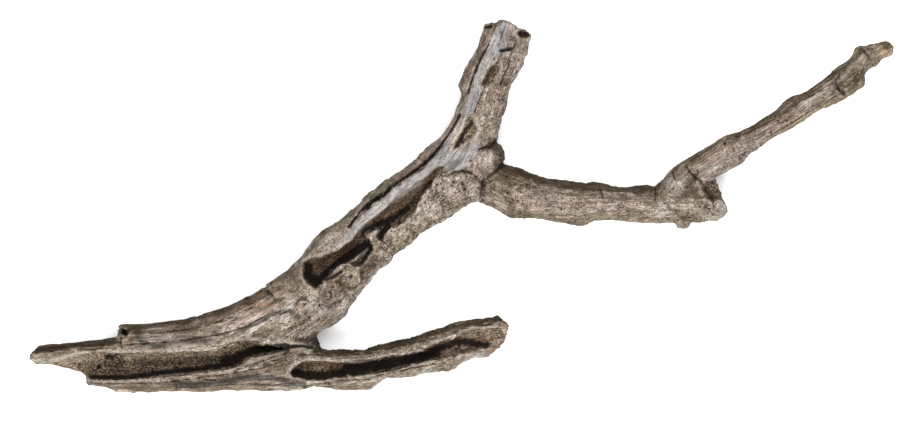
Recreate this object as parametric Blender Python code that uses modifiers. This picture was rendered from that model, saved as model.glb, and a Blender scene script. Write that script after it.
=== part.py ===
"""A dead tree branch, weathered and hollowed by rot, lying as it would rest on a floor.

The branch is one piece of wood: a split hollow log, a stem that leaves it and carries a long
cavity, a prong with a hollow of its own, and a side limb that forks into a broken stub and a
twig. It is modelled as limbs lofted along their outlines, joined, and then hollowed out.

Plan places are millimetres seen from straight above, x to the right and y towards the
viewer's feet, and heights are millimetres above the floor. The finished solid is moved so
that the middle of its footprint is the origin, with +Y away from the viewer and +Z up.
"""

import math

import bmesh
import bpy
from mathutils import Vector, noise

MM = 0.001
BRANCH_NAME = "branch"
BARK_COLOUR = (0.36, 0.30, 0.25, 1.0)
BARK_ROUGHNESS = 0.9
CREASE_DEGREES = 50
WELD_DISTANCE = 0.01

# Fineness of the model
RING_POINTS = 32
LOFT_STEP = 4.0
GRAIN_SIZE = 1.7
SOFTENING_ROUNDS = 2
MOST_TRIANGLES = 11200

# Relief that follows each limb: long flutes along it and swellings on it
FLUTE_DEPTH = 3.6
FLUTE_LENGTH = 60.0
FLUTE_WIDTH = 10.0
SWELLING_HEIGHT = 3.4
SWELLING_LENGTH = 21.0
EDGE_SHARE = 0.35
UNDERSIDE_SHARE = 0.25
LUMP_UNEVENNESS = 0.12

# How gnarled each limb is, 1 being the full relief
GNARLS = {"log_and_prong": 0.7, "splinter": 0.5, "stem": 1.0, "limb": 0.75, "twig": 0.55, "crotch": 1.0}

# How far weather has warped the whole surface, and over what distance
WARPS = ((14.0, 1.6), (6.5, 0.9))
WARP_SEED = 11

# Heights between which an upright cut passes right through the wood
BELOW_ALL = -40.0
ABOVE_ALL = 140.0

# Limbs, each a row of cross-sections: the far edge and the near edge as plan places, then the
# height of the section's middle and half its thickness upwards
LOG_AND_PRONG = [
    ((106, 325.5), (105, 392), 32, 30),
    ((119, 324.5), (118, 392), 32, 31),
    ((150, 323.5), (150, 392), 32, 33),
    ((180, 320), (184, 392), 32, 33),
    ((198, 317), (201, 392), 32, 33),
    ((214, 311), (219, 391.5), 32, 33),
    ((240, 318), (250, 391), 31, 31),
    ((270, 330), (280, 391.8), 30, 28),
    ((298, 343), (298, 390), 29, 24),
    ((318, 348.5), (318, 387), 28, 21),
    ((345, 350), (345, 391), 28, 20),
    ((360, 350), (362, 391), 28, 19.5),
    ((373, 347.5), (374, 387.5), 28.5, 19),
    ((384, 343.5), (385, 380), 29, 18.5),
    ((402, 339.5), (405, 377.5), 29.5, 19),
    ((430, 330.5), (436, 372), 29.5, 20),
    ((447, 326), (454, 368), 29.5, 20),
    ((462, 321), (468, 360), 29.5, 20),
    ((482, 318.5), (486, 358), 30, 19.5),
    ((510, 314), (514, 352), 30, 18),
]
SPLINTER = [
    ((24, 349), (24, 366), 41, 10),
    ((38, 345), (38, 374), 40, 15),
    ((60, 343), (60, 381), 37, 20),
    ((90, 340), (90, 386), 34, 26),
    ((120, 338.5), (120, 387.5), 33, 29),
    ((160, 336), (160, 388), 32, 29),
]
STEM = [
    ((202, 318), (216, 372), 33, 20),
    ((221, 307.5), (242, 366), 33, 26),
    ((240, 300.5), (262, 358), 33, 29),
    ((262, 289), (295, 346), 34, 30),
    ((283, 273.5), (320, 332), 35, 30),
    ((302, 255), (341, 320), 37, 30),
    ((319, 233), (354, 302), 38, 29.5),
    ((341, 220), (371, 280), 39, 29),
    ((362, 199), (390, 260), 39, 29),
    ((386, 179), (410, 242), 39, 28.5),
    ((405, 167), (431, 228.5), 38, 28.5),
    ((425, 148.5), (455, 213), 37, 28.5),
    ((442, 132.5), (474, 199), 35, 28),
    ((452, 120), (490, 164), 33, 27),
    ((457, 107), (501, 124), 31, 25),
    ((462, 95), (508, 99), 29, 24.5),
    ((459, 84.5), (510, 87), 28, 24.5),
    ((464, 72), (520, 71), 27, 25.5),
    ((471, 56), (526, 55), 25.5, 26),
    ((479, 42), (530, 42), 24.5, 25.5),
    ((484, 26), (532, 33), 24, 25),
    ((488, 10), (537, 16), 24, 23),
]
LIMB = [
    ((474, 158), (466, 198), 26, 19),
    ((500, 163), (488, 205), 24, 22),
    ((520, 168.5), (512, 217), 25, 24),
    ((540, 176.5), (528, 218.5), 25.5, 22.5),
    ((563, 181), (558, 222.5), 26, 20),
    ((585, 182.5), (582, 225.5), 26, 20),
    ((599, 182.5), (597, 220.5), 25.5, 18.5),
    ((622, 187), (622, 221.5), 25, 17),
    ((650, 185), (650, 223), 22, 19),
    ((680, 185), (680, 223), 20, 20.5),
    ((700, 179), (702, 222), 19, 20),
    ((716, 178), (720, 221), 19, 19),
    ((730, 182), (734, 220), 18.5, 18),
]
TWIG = [
    ((646, 194), (664, 214), 22, 11),
    ((661, 181.5), (690, 205), 24, 16),
    ((673, 169), (702, 190), 27, 17),
    ((688, 159), (708, 180.5), 30, 15.5),
    ((703, 149.5), (724, 174), 33, 14.5),
    ((722, 137), (740, 164), 37, 15),
    ((737, 132.5), (754, 152), 41, 12.5),
    ((756, 122), (769, 141), 45, 11.3),
    ((775, 109), (787, 131), 49, 11.8),
    ((788, 98), (802, 122), 53, 13),
    ((805, 92), (816, 112), 57, 11.8),
    ((826, 75.5), (840, 101), 62, 12.5),
    ((843, 62), (857, 89.5), 66, 14.5),
    ((856, 51), (866, 71), 69, 11.5),
    ((867, 45), (873, 65), 71, 9),
    ((880, 43.5), (881, 59), 72.5, 8),
    ((890, 46), (889, 55), 73, 5),
]

CROTCH = [
    ((280, 318), (280, 354), 30, 25),
    ((298, 329), (299, 352), 30, 23),
    ((311, 334), (312, 350), 30, 18),
    ((317.5, 337.5), (319.5, 347), 30, 9),
]

# Lumps grown out of the limbs: plan place, height, then half sizes along x, y and z
LUMPS = {
    "collar_knob": ((491, 155), 34, (14, 14, 21)),
    "collar_swelling": ((474, 184), 34, (17, 18.5, 24)),
    "stem_burl": ((352, 276), 51, (12, 12, 11.5)),
    "stem_knot": ((305, 304), 62, (7, 7, 6.5)),
    "stem_hump": ((407, 225), 50, (15, 12, 9.5)),
    "fork_boss": ((440, 190), 54, (13, 12, 12)),
    "prong_knob": ((451, 362), 26, (9, 9, 11)),
    "limb_burr": ((523, 209), 24, (12, 10.5, 14)),
    "limb_knee": ((580, 215), 22, (12, 10, 13)),
    "limb_nub": ((684, 221), 21, (9, 8, 9)),
    "stub_rim": ((717, 209), 22, (10, 12, 16)),
    "fork_web": ((668, 192), 25, (13, 13, 15)),
    "twig_boss": ((731, 148), 42, (9, 11, 12)),
    "twig_knot_far": ((860, 55), 72, (9, 9.5, 10)),
    "twig_knot_near": ((854.5, 81), 65, (10.5, 9.5, 11)),
    "twig_peg": ((868, 60), 72, (10, 8.5, 9)),
    "twig_tip": ((883, 51), 73, (8.5, 8.5, 8)),
}

# Hollows, each a row of cross-sections as for a limb
TROUGH_SLOPE = [
    ((6, 352), (6, 388), 100, 58),
    ((60, 350), (60, 384), 100, 62),
    ((90, 349.5), (90, 381.5), 100, 64),
    ((150, 349.5), (150, 382), 100, 65),
    ((200, 348), (202, 374), 100, 65),
    ((226, 343.5), (230, 372), 100, 64),
    ((247, 339), (250, 361), 100, 62),
    ((266, 342), (269, 357), 100, 58),
    ((285, 344), (287, 351), 100, 53),
    ((302, 344), (303, 348), 100, 48),
]
TROUGH_UNDERCUT = [
    ((92, 364), (92, 379), 44, 7),
    ((120, 362), (120, 382), 44, 8),
    ((150, 361), (150, 384), 43, 8.5),
    ((200, 357), (202, 380), 42, 9),
    ((226, 353), (230, 376), 42, 9),
    ((247, 347), (250, 366), 42, 9),
    ((266, 345), (269, 360), 42, 9),
    ((285, 344.5), (287, 354), 42, 7),
]
CAVITY = [
    ((302, 268), (316, 286), 54, 13),
    ((318, 255), (334, 277), 48, 18),
    ((343, 245), (360, 263), 45, 20),
    ((362, 226), (380, 247), 45, 19),
    ((384, 206), (402, 229), 46, 18),
    ((404, 190), (421, 208), 48, 15),
    ((424, 178), (436, 187), 52, 11),
    ((437, 166), (445, 171), 57, 7),
]
PRONG_HOLLOW = [
    ((291, 367), (293, 376), 40, 5),
    ((305, 361), (305, 380), 37, 11),
    ((330, 360), (330, 381), 36, 12),
    ((360, 361), (361, 377), 37, 13),
    ((390, 355), (392, 371), 38, 13),
    ((420, 349), (424, 363), 39, 13),
    ((445, 340), (450, 357), 41, 12),
    ((466, 333), (471, 351), 43, 11),
    ((485, 328), (490, 349), 46, 10),
    ((520, 322), (525, 346), 48, 10),
]
GREY_STRIP = [
    ((336, 243), (344, 250), 73, 6),
    ((350, 225), (363, 237), 68, 8),
    ((362, 208), (380, 221), 68, 9),
    ((379, 196), (397, 208), 68, 9),
    ((399, 180), (418, 192), 67, 9),
    ((419, 166.5), (438, 177), 65.5, 9),
    ((438, 149), (459, 161), 63, 9),
    ((451, 128), (473, 136), 60, 9),
    ((462, 107), (479, 112), 56, 8),
    ((470, 84), (485, 88), 53, 7),
    ((481, 60), (500, 66), 52, 7),
    ((490, 40), (504, 44), 50.5, 7),
    ((497, 24), (509, 28), 49, 7),
    ((502, 8), (514, 12), 49, 7),
]
STRIP_CRACK = [
    ((349, 228), (351.5, 230.5), 63, 8),
    ((360, 210), (364, 213), 61, 11),
    ((378, 195), (382, 199), 60, 12),
    ((398, 179), (402, 183), 59, 12),
    ((417, 166), (421, 170), 57, 12),
    ((436, 148), (440, 151), 55, 11),
    ((448, 133), (451, 136), 54, 8),
    ((456, 117), (458, 119), 53, 5),
]
UPPER_CRACK = [
    ((465, 98), (467, 99), 52, 5),
    ((468, 88), (471, 89), 48, 9),
    ((474, 71), (477, 72), 47, 9),
    ((480, 57), (483, 58), 46, 8),
    ((487, 44), (489, 45), 46, 5),
]
EDGE_NOTCH = [
    ((260, 286), (266, 282), 40, 26),
    ((265.5, 290), (269.5, 288), 50, 15),
    ((270, 299), (273, 297), 64, 5),
]
STEM_POCKET = [
    ((452.5, 149), (454.5, 151), 62, 5),
    ((459, 138), (466, 145), 61, 10),
    ((465, 124), (477, 131), 59, 9),
    ((467, 113), (475, 116), 58, 6),
    ((470, 107), (473, 108), 60, 3),
]
STUB_SCOOP = [
    ((480, 88), (487, 87), 55, 5),
    ((484, 79), (497, 80), 52, 6.5),
    ((490, 68), (500.5, 69), 51, 6),
    ((496, 58), (500.5, 59), 54, 4),
]
STUB_RECESS = [
    ((501, 51), (514, 48.5), 52, 4.5),
    ((502, 44), (516, 42), 50.5, 5),
    ((506, 30), (518, 32), 49.5, 5),
    ((512, 8), (524, 12), 49, 6),
]
STUB_BORE_NEAR = [
    ((520, 44), (525, 45), 37, 3),
    ((518, 34), (530, 35), 38, 8),
    ((520, 18), (536, 22), 40, 10),
]
STUB_BORE_FAR = [
    ((485, 36), (489, 36), 38, 3),
    ((485, 28), (492, 29), 40, 6),
    ((486, 12), (497, 14), 42, 8),
]
LOG_END_BORE = [
    ((130, 332), (130, 336), 44, 4),
    ((122, 328), (122, 338), 44, 8),
    ((108, 326), (108, 340), 44, 10),
]
SIDE_POCKET = [
    ((351, 261), (354, 264), 62, 3),
    ((358, 255), (364, 265), 60, 8),
    ((366, 248), (370, 256), 61, 8),
    ((371, 243), (373, 246), 63, 4),
]
COLLAR_FOLD = [
    ((478, 151), (478, 154), 56, 6),
    ((488, 146), (489, 149.5), 50, 11),
    ((498, 139), (500, 143), 40, 20),
]
TWIG_EYE = [
    ((833, 74), (836, 76), 76, 3),
    ((832, 83), (841, 87), 74, 6),
    ((837, 91), (846, 92), 72, 5),
]
STUB_FACE = [
    ((699, 185), (701, 193), 40, 5),
    ((707, 180), (711, 198), 40, 11),
    ((728, 174), (732, 202), 40, 18),
]
SEAMS = {
    "limb_crease": [
        ((653, 178), (656, 178), 32, 9), ((654, 190), (657, 190), 42, 5), ((656, 199), (658, 199), 44, 3),
    ],
    "limb_fold": [
        ((597, 178), (600, 178), 36, 9), ((600, 190), (603, 190), 46, 5), ((603, 198), (605, 198), 47, 3),
    ],
    "collar_seam": [
        ((508, 162), (505, 159), 36, 9), ((495, 172), (492, 169), 46, 6), ((486, 183), (483, 181), 49, 6),
        ((483, 193), (480, 193), 46, 6), ((484, 205), (481, 205), 34, 9),
    ],
    "twig_crack": [
        ((684, 163), (687, 161), 34, 7), ((690, 171), (693, 169), 42, 4), ((702, 182), (705, 180), 36, 8),
    ],
    "bank_crack": [
        ((376, 232), (379, 229), 62, 4), ((382, 242), (386, 240), 57, 6), ((389, 252), (393, 250), 50, 5),
    ],
}

# Upright cuts, as outlines in plan: the mouths of the hollows, and the broken ends
TROUGH_MOUTH = [
    (0, 356), (42, 357), (58, 353), (90, 352), (125, 353), (160, 352), (198, 350.5), (214, 349.5),
    (222, 346), (234, 342), (246, 340.5), (258, 341), (268, 344), (277, 347.5), (286, 344.5),
    (300, 345), (300, 347.5), (288, 348), (279, 349), (272, 353), (262, 355.5), (249, 356),
    (242, 358.5), (238, 365), (231, 368.5), (216, 370), (213.5, 367.5), (196, 369.5), (176, 371.5),
    (161, 374), (157, 376.5), (138, 378.5), (112, 379.5), (86, 377.5), (60, 392), (0, 392),
]
CAVITY_MOUTH = [
    (304, 261), (305.5, 269), (303.5, 276), (308, 281), (311, 286), (316, 288.5), (320.5, 285),
    (322, 279), (331, 271), (338, 264.5), (343, 262), (350, 261.5), (358, 254), (366, 248.5),
    (371, 244), (370.5, 239), (364, 236.5), (366, 232.5), (372, 228.5), (378, 227.5), (381.5, 231.5),
    (385, 233), (388, 229), (395, 227), (402, 224), (410, 216), (416, 210), (419, 202), (424, 194),
    (429, 189), (434, 181), (440, 172), (444.5, 167), (439, 165.5), (432, 171), (424, 182),
    (408, 190), (394, 201), (380, 213), (368, 220.5), (360, 232), (351, 242), (338, 251), (322, 256.5),
    (309, 258.5),
]
PRONG_MOUTH = [
    (290.5, 373), (295, 366), (302, 362), (314, 360.5), (330, 361.5), (343, 363), (345, 366),
    (354, 366), (356, 364), (368, 364), (376, 360.5), (384, 356.5), (388, 358.5), (397, 358),
    (399, 355.5), (412, 355), (421, 350.5), (430, 345), (442, 341), (456, 337), (464, 331),
    (478, 328.5), (496, 327.5), (520, 328), (520, 336), (505, 338), (493, 343.5), (484, 347.5),
    (477, 350), (472, 346), (463, 346), (457, 350), (450, 353.5), (444, 358), (425, 360.5),
    (406, 363), (405, 365.5), (396, 369), (374, 371.5), (363, 374.5), (331, 377), (326, 380.5),
    (306, 380.5), (298, 377.5),
]
SPLINTER_NEAR_END = [
    (0, 357), (30, 358), (35, 363), (46, 364.5), (58, 366), (70, 368.5), (79, 371), (88, 375.5),
    (87, 378), (87, 382.5), (91, 385.5), (108, 387), (116, 391.5), (117, 420), (0, 420),
]
SPLINTER_FAR_END = [(0, 358), (30, 357.5), (33, 352), (38, 345.5), (40, 325), (0, 325)]
LOG_END = [
    (60, 300), (117.5, 300), (117.5, 326), (119.5, 330), (116.5, 333.5), (119.5, 338), (104, 339.5),
    (60, 343),
]
PRONG_END = [
    (499.5, 300), (499, 319.5), (505, 322), (506.5, 326), (509, 327.5), (507, 332), (505, 340),
    (500, 347), (495, 350), (491, 355.5), (488, 358), (488, 400), (560, 400), (560, 300),
]
STUB_END = [
    (470, 26), (486, 24.5), (493, 23), (497, 22.5), (499, 20), (504, 20), (510, 22), (517, 27),
    (525, 29.5), (530, 34), (545, 36), (560, -30), (470, -30),
]
LIMB_END = [
    (713.5, 179.5), (717, 183), (720, 191), (722.5, 199), (726, 205), (727.5, 212), (724, 217),
    (716, 222), (716, 260), (780, 260), (780, 188), (740, 178),
]


def clear_scene():
    for obj in list(bpy.data.objects):
        bpy.data.objects.remove(obj)


def place(x, y, height):
    """A plan place and a height, as a point in metres."""
    return Vector((x, -y, height)) * MM


def new_object(name, bm):
    """Makes an object of a bmesh, with its faces pointing out, and links it to the scene."""
    bmesh.ops.recalc_face_normals(bm, faces=bm.faces)
    mesh = bpy.data.meshes.new(name)
    bm.to_mesh(mesh)
    bm.free()
    obj = bpy.data.objects.new(name, mesh)
    bpy.context.scene.collection.objects.link(obj)
    return obj


def on_curve(a, b, c, d, t):
    """The value between b and c, t of the way along, on a Catmull-Rom curve through all four."""
    return 0.5 * (2 * b + (c - a) * t + (2 * a - 5 * b + 4 * c - d) * t**2 + (3 * b - a - 3 * c + d) * t**3)


def smooth_through(rows, step):
    """Rows of numbers between the given ones, on a Catmull-Rom curve, about one step apart."""
    fine = []
    for i in range(len(rows) - 1):
        before = rows[max(i - 1, 0)]
        start, end = rows[i], rows[i + 1]
        after = rows[min(i + 2, len(rows) - 1)]
        reach = max(abs(b - a) for a, b in zip(start[:4], end[:4]))
        count = max(2, round(reach / step))
        for k in range(count):
            fine.append([on_curve(*four, k / count) for four in zip(before, start, end, after)])
    return fine + [list(rows[-1])]


def relief(along, angle, radius, seed):
    """How far the surface stands out, in millimetres, at a distance along a limb and an angle round it."""
    around = Vector((math.cos(angle), math.sin(angle))) * radius
    flute = noise.noise(Vector((along / FLUTE_LENGTH + seed, around.x / FLUTE_WIDTH, around.y / FLUTE_WIDTH)))
    swelling = noise.noise(Vector((along, around.x, around.y)) / SWELLING_LENGTH + Vector((0, seed, 0)))
    share = min(1.0, radius / 25) * (1 - (1 - EDGE_SHARE) * math.cos(angle) ** 2)
    if math.sin(angle) < 0:
        share *= 1 - (1 - UNDERSIDE_SHARE) * math.sin(angle) ** 2
    return share * (FLUTE_DEPTH * flute + SWELLING_HEIGHT * swelling)


def loft(name, sections, seed, gnarl=1.0):
    """A closed body through the cross-sections, each an ellipse in an upright plane with its relief."""
    given = [(*far, *near, middle, half) for far, near, middle, half in sections]
    rows = smooth_through(given, LOFT_STEP)
    bm = bmesh.new()
    rings = []
    along = 0.0
    last = None
    for far_x, far_y, near_x, near_y, middle, half in rows:
        centre = Vector(((far_x + near_x) / 2, (far_y + near_y) / 2))
        across = Vector(((near_x - far_x) / 2, (near_y - far_y) / 2))
        along += (centre - last).length if last else 0.0
        last = centre
        ring = []
        for k in range(RING_POINTS):
            angle = 2 * math.pi * k / RING_POINTS
            out = gnarl * relief(along, angle, across.length, seed)
            wide = (across.length + out) / across.length * math.cos(angle)
            plan = centre + across * wide
            ring.append(bm.verts.new(place(plan.x, plan.y, middle + (half + out) * math.sin(angle))))
        rings.append(ring)
    for one, two in zip(rings, rings[1:]):
        for k in range(RING_POINTS):
            n = (k + 1) % RING_POINTS
            bm.faces.new((one[k], one[n], two[n], two[k]))
    bm.faces.new(rings[0])
    bm.faces.new(rings[-1])
    return new_object(name, bm)


def lump(name, where, height, half_sizes):
    """A rounded lump, slightly uneven."""
    bm = bmesh.new()
    bmesh.ops.create_icosphere(bm, subdivisions=3, radius=1.0)
    seed = Vector((where[0], where[1], height))
    for vert in bm.verts:
        uneven = 1 + LUMP_UNEVENNESS * noise.noise(vert.co * 1.7 + seed)
        vert.co = Vector(co * size for co, size in zip(vert.co, half_sizes)) * uneven * MM
        vert.co += place(*where, height)
    return new_object(name, bm)


def upright_cut(name, outline, low, high):
    """A cutter with the outline in plan, between two heights: a flat curve with a thickness."""
    curve = bpy.data.curves.new(name, "CURVE")
    curve.dimensions = "2D"
    curve.fill_mode = "BOTH"
    curve.extrude = (high - low) / 2 * MM
    spline = curve.splines.new("POLY")
    spline.points.add(len(outline) - 1)
    for point, (x, y) in zip(spline.points, outline):
        point.co = (x * MM, -y * MM, 0, 1)
    spline.use_cyclic_u = True
    flat = bpy.data.objects.new(name, curve)
    bpy.context.scene.collection.objects.link(flat)
    flat.location.z = (low + high) / 2 * MM
    return as_mesh(flat)


def as_mesh(obj):
    """The object as the viewport shows it, made a plain mesh in world space with its caps welded."""
    bpy.context.view_layer.update()
    evaluated = obj.evaluated_get(bpy.context.evaluated_depsgraph_get())
    bm = bmesh.new()
    bm.from_mesh(bpy.data.meshes.new_from_object(evaluated))
    bm.transform(obj.matrix_world)
    bmesh.ops.remove_doubles(bm, verts=bm.verts, dist=WELD_DISTANCE * MM)
    name = obj.name
    bpy.data.objects.remove(obj)
    return new_object(name, bm)


def apply_modifiers(obj):
    """Makes what the modifiers show the object's own mesh."""
    bpy.context.view_layer.update()
    evaluated = obj.evaluated_get(bpy.context.evaluated_depsgraph_get())
    obj.data = bpy.data.meshes.new_from_object(evaluated)
    obj.modifiers.clear()


def combine(wood, others, operation):
    """Joins the other solids to the wood or cuts them out of it, one after another.

    The exact solver drops whole limbs here, where many rough skins cross at slight angles.
    """
    for other in others:
        modifier = wood.modifiers.new(other.name, "BOOLEAN")
        modifier.operation = operation
        modifier.solver = "MANIFOLD"
        modifier.object = other
        apply_modifiers(wood)
        bpy.data.objects.remove(other)


def keep_largest_body(obj):
    """Drops chips that the cuts left loose."""
    bm = bmesh.new()
    bm.from_mesh(obj.data)
    bodies = []
    unseen = set(bm.verts)
    while unseen:
        front = [unseen.pop()]
        body = list(front)
        while front:
            vert = front.pop()
            for edge in vert.link_edges:
                other = edge.other_vert(vert)
                if other in unseen:
                    unseen.remove(other)
                    front.append(other)
                    body.append(other)
        bodies.append(body)
    bodies.sort(key=len)
    for body in bodies[:-1]:
        bmesh.ops.delete(bm, geom=body, context="VERTS")
    bm.to_mesh(obj.data)
    bm.free()


def grow_branch():
    """The limbs and lumps, joined into one piece of wood."""
    wood = loft(BRANCH_NAME, LOG_AND_PRONG, 1, GNARLS["log_and_prong"])
    limbs = {"splinter": SPLINTER, "stem": STEM, "limb": LIMB, "twig": TWIG, "crotch": CROTCH}
    others = [loft(name, shape, seed + 2, GNARLS[name]) for seed, (name, shape) in enumerate(limbs.items())]
    others += [lump(name, *shape) for name, shape in LUMPS.items()]
    combine(wood, others, "UNION")
    return wood


def hollow_out(wood):
    """The rotted hollows with their mouths, the cracks, and the broken ends."""
    hollows = {
        "trough_slope": TROUGH_SLOPE, "trough_undercut": TROUGH_UNDERCUT, "cavity": CAVITY,
        "prong_hollow": PRONG_HOLLOW, "grey_strip": GREY_STRIP, "strip_crack": STRIP_CRACK,
        "upper_crack": UPPER_CRACK, "edge_notch": EDGE_NOTCH, "stem_pocket": STEM_POCKET,
        "stub_scoop": STUB_SCOOP, "stub_recess": STUB_RECESS, "stub_bore_near": STUB_BORE_NEAR,
        "stub_bore_far": STUB_BORE_FAR, "log_end_bore": LOG_END_BORE, "side_pocket": SIDE_POCKET,
        "collar_fold": COLLAR_FOLD, "twig_eye": TWIG_EYE, "stub_face": STUB_FACE, **SEAMS,
    }
    cutters = [loft(name, shape, seed + 20) for seed, (name, shape) in enumerate(hollows.items())]
    cutters += [
        upright_cut("trough_mouth", TROUGH_MOUTH, 54, ABOVE_ALL),
        upright_cut("cavity_mouth", CAVITY_MOUTH, 50, ABOVE_ALL),
        upright_cut("prong_mouth", PRONG_MOUTH, 42, ABOVE_ALL),
        upright_cut("splinter_near_end", SPLINTER_NEAR_END, BELOW_ALL, ABOVE_ALL),
        upright_cut("splinter_far_end", SPLINTER_FAR_END, BELOW_ALL, ABOVE_ALL),
        upright_cut("log_end", LOG_END, BELOW_ALL, ABOVE_ALL),
        upright_cut("prong_end", PRONG_END, BELOW_ALL, ABOVE_ALL),
        upright_cut("stub_end", STUB_END, BELOW_ALL, ABOVE_ALL),
        upright_cut("limb_end", LIMB_END, BELOW_ALL, ABOVE_ALL),
    ]
    combine(wood, cutters, "DIFFERENCE")


def warp(wood):
    """Shifts every point a little by smooth noise, so that no edge or broken end stays straight."""
    noise.seed_set(WARP_SEED)
    for vert in wood.data.vertices:
        shift = Vector()
        for wavelength, reach in WARPS:
            shift += noise.noise_vector(vert.co / (wavelength * MM)) * reach * MM
        vert.co += shift


def weather(wood):
    """Rounds every edge as weather does, and leaves an even mesh."""
    grain = wood.modifiers.new("grain", "REMESH")
    grain.mode = "VOXEL"
    grain.voxel_size = GRAIN_SIZE * MM
    soften = wood.modifiers.new("soften", "SMOOTH")
    soften.factor = 0.5
    soften.iterations = SOFTENING_ROUNDS
    apply_modifiers(wood)
    warp(wood)
    keep_largest_body(wood)


def thin_out(wood):
    """Fewer, larger facets, small only where the shape needs them."""
    wood.data.calc_loop_triangles()
    fewer = wood.modifiers.new("fewer", "DECIMATE")
    fewer.ratio = MOST_TRIANGLES / len(wood.data.loop_triangles)
    fewer.use_collapse_triangulate = True
    apply_modifiers(wood)


def set_down(wood):
    """Centres the footprint on the origin and wears small flats where the wood touches the floor."""
    corners = [vert.co for vert in wood.data.vertices]
    low = Vector(min(co[k] for co in corners) for k in range(3))
    high = Vector(max(co[k] for co in corners) for k in range(3))
    middle = (low + high) / 2
    middle.z = 0
    for vert in wood.data.vertices:
        vert.co -= middle
    bm = bmesh.new()
    bm.from_mesh(wood.data)
    cut = bmesh.ops.bisect_plane(
        bm, geom=bm.verts[:] + bm.edges[:] + bm.faces[:], dist=0.001 * MM,
        plane_co=(0, 0, 0), plane_no=(0, 0, -1), clear_outer=True,
    )
    rim = [edge for edge in cut["geom_cut"] if isinstance(edge, bmesh.types.BMEdge)]
    bmesh.ops.holes_fill(bm, edges=rim)
    bmesh.ops.recalc_face_normals(bm, faces=bm.faces)
    bm.to_mesh(wood.data)
    bm.free()


def finish_surface(wood):
    bark = bpy.data.materials.new("weathered_wood")
    bark.use_nodes = True
    shader = bark.node_tree.nodes["Principled BSDF"]
    shader.inputs["Base Color"].default_value = BARK_COLOUR
    shader.inputs["Roughness"].default_value = BARK_ROUGHNESS
    shader.inputs["Metallic"].default_value = 0.0
    wood.data.materials.clear()
    wood.data.materials.append(bark)
    wood.data.shade_smooth()
    wood.data.set_sharp_from_angle(angle=math.radians(CREASE_DEGREES))


def main():
    clear_scene()
    wood = grow_branch()
    hollow_out(wood)
    weather(wood)
    thin_out(wood)
    set_down(wood)
    finish_surface(wood)
    holder = bpy.data.collections.new("tree_branch")
    bpy.context.scene.collection.children.link(holder)
    holder.objects.link(wood)
    bpy.context.scene.collection.objects.unlink(wood)


main()
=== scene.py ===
"""Dresses a dead tree branch: weathered bark, bare silver wood, rotted hollows, cracks and moss.

The branch is one piece of wood. Its plain solid is copied, made finer, and given the relief of
bark and grain, then a finish that follows the grain of each limb. Splinters stand on its broken
ends, bark flakes lie along the rims of its hollows, and crumbs of moss sit on its far side.

Plan places are millimetres seen from straight above, x to the right and y towards the viewer's
feet, and heights are millimetres above the floor, as in the source of the solid.
"""

import math
import random

import bmesh
import bpy
import numpy as np
from bpy.props import FloatProperty, FloatVectorProperty, IntProperty, PointerProperty
from mathutils import Euler, Matrix, Vector
from mathutils.bvhtree import BVHTree
from mathutils.kdtree import KDTree


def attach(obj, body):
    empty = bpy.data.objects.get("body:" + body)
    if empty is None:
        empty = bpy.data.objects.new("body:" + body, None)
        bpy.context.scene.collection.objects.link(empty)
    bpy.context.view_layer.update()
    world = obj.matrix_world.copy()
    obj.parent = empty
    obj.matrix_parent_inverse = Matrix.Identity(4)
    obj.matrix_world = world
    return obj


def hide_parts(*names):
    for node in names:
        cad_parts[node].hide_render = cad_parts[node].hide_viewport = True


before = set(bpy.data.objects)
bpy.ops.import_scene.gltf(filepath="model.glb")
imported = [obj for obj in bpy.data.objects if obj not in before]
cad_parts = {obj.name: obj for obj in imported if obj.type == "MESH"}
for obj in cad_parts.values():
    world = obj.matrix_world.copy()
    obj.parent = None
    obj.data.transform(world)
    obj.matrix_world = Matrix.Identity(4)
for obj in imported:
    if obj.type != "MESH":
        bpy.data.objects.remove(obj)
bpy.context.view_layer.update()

bl_info = {
    "name": "Tree Branch",
    "version": (1, 0, 0),
    "blender": (4, 5, 0),
    "location": "3D View > Sidebar > Branch",
    "description": "Dresses a dead branch with bark, bare wood, rot, splinters and moss",
    "category": "Object",
}

MM = 0.001

# Where the solid's middle lies on the plan, and the middle of the camera's view, its width and the level
# over the floor at which it is so wide
PLAN_CENTRE = (460.752, 206.413)
VIEW_CENTRE = (461.5, 211.5)
VIEW_WIDTH = 923
VIEW_LEVEL = 42

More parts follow.
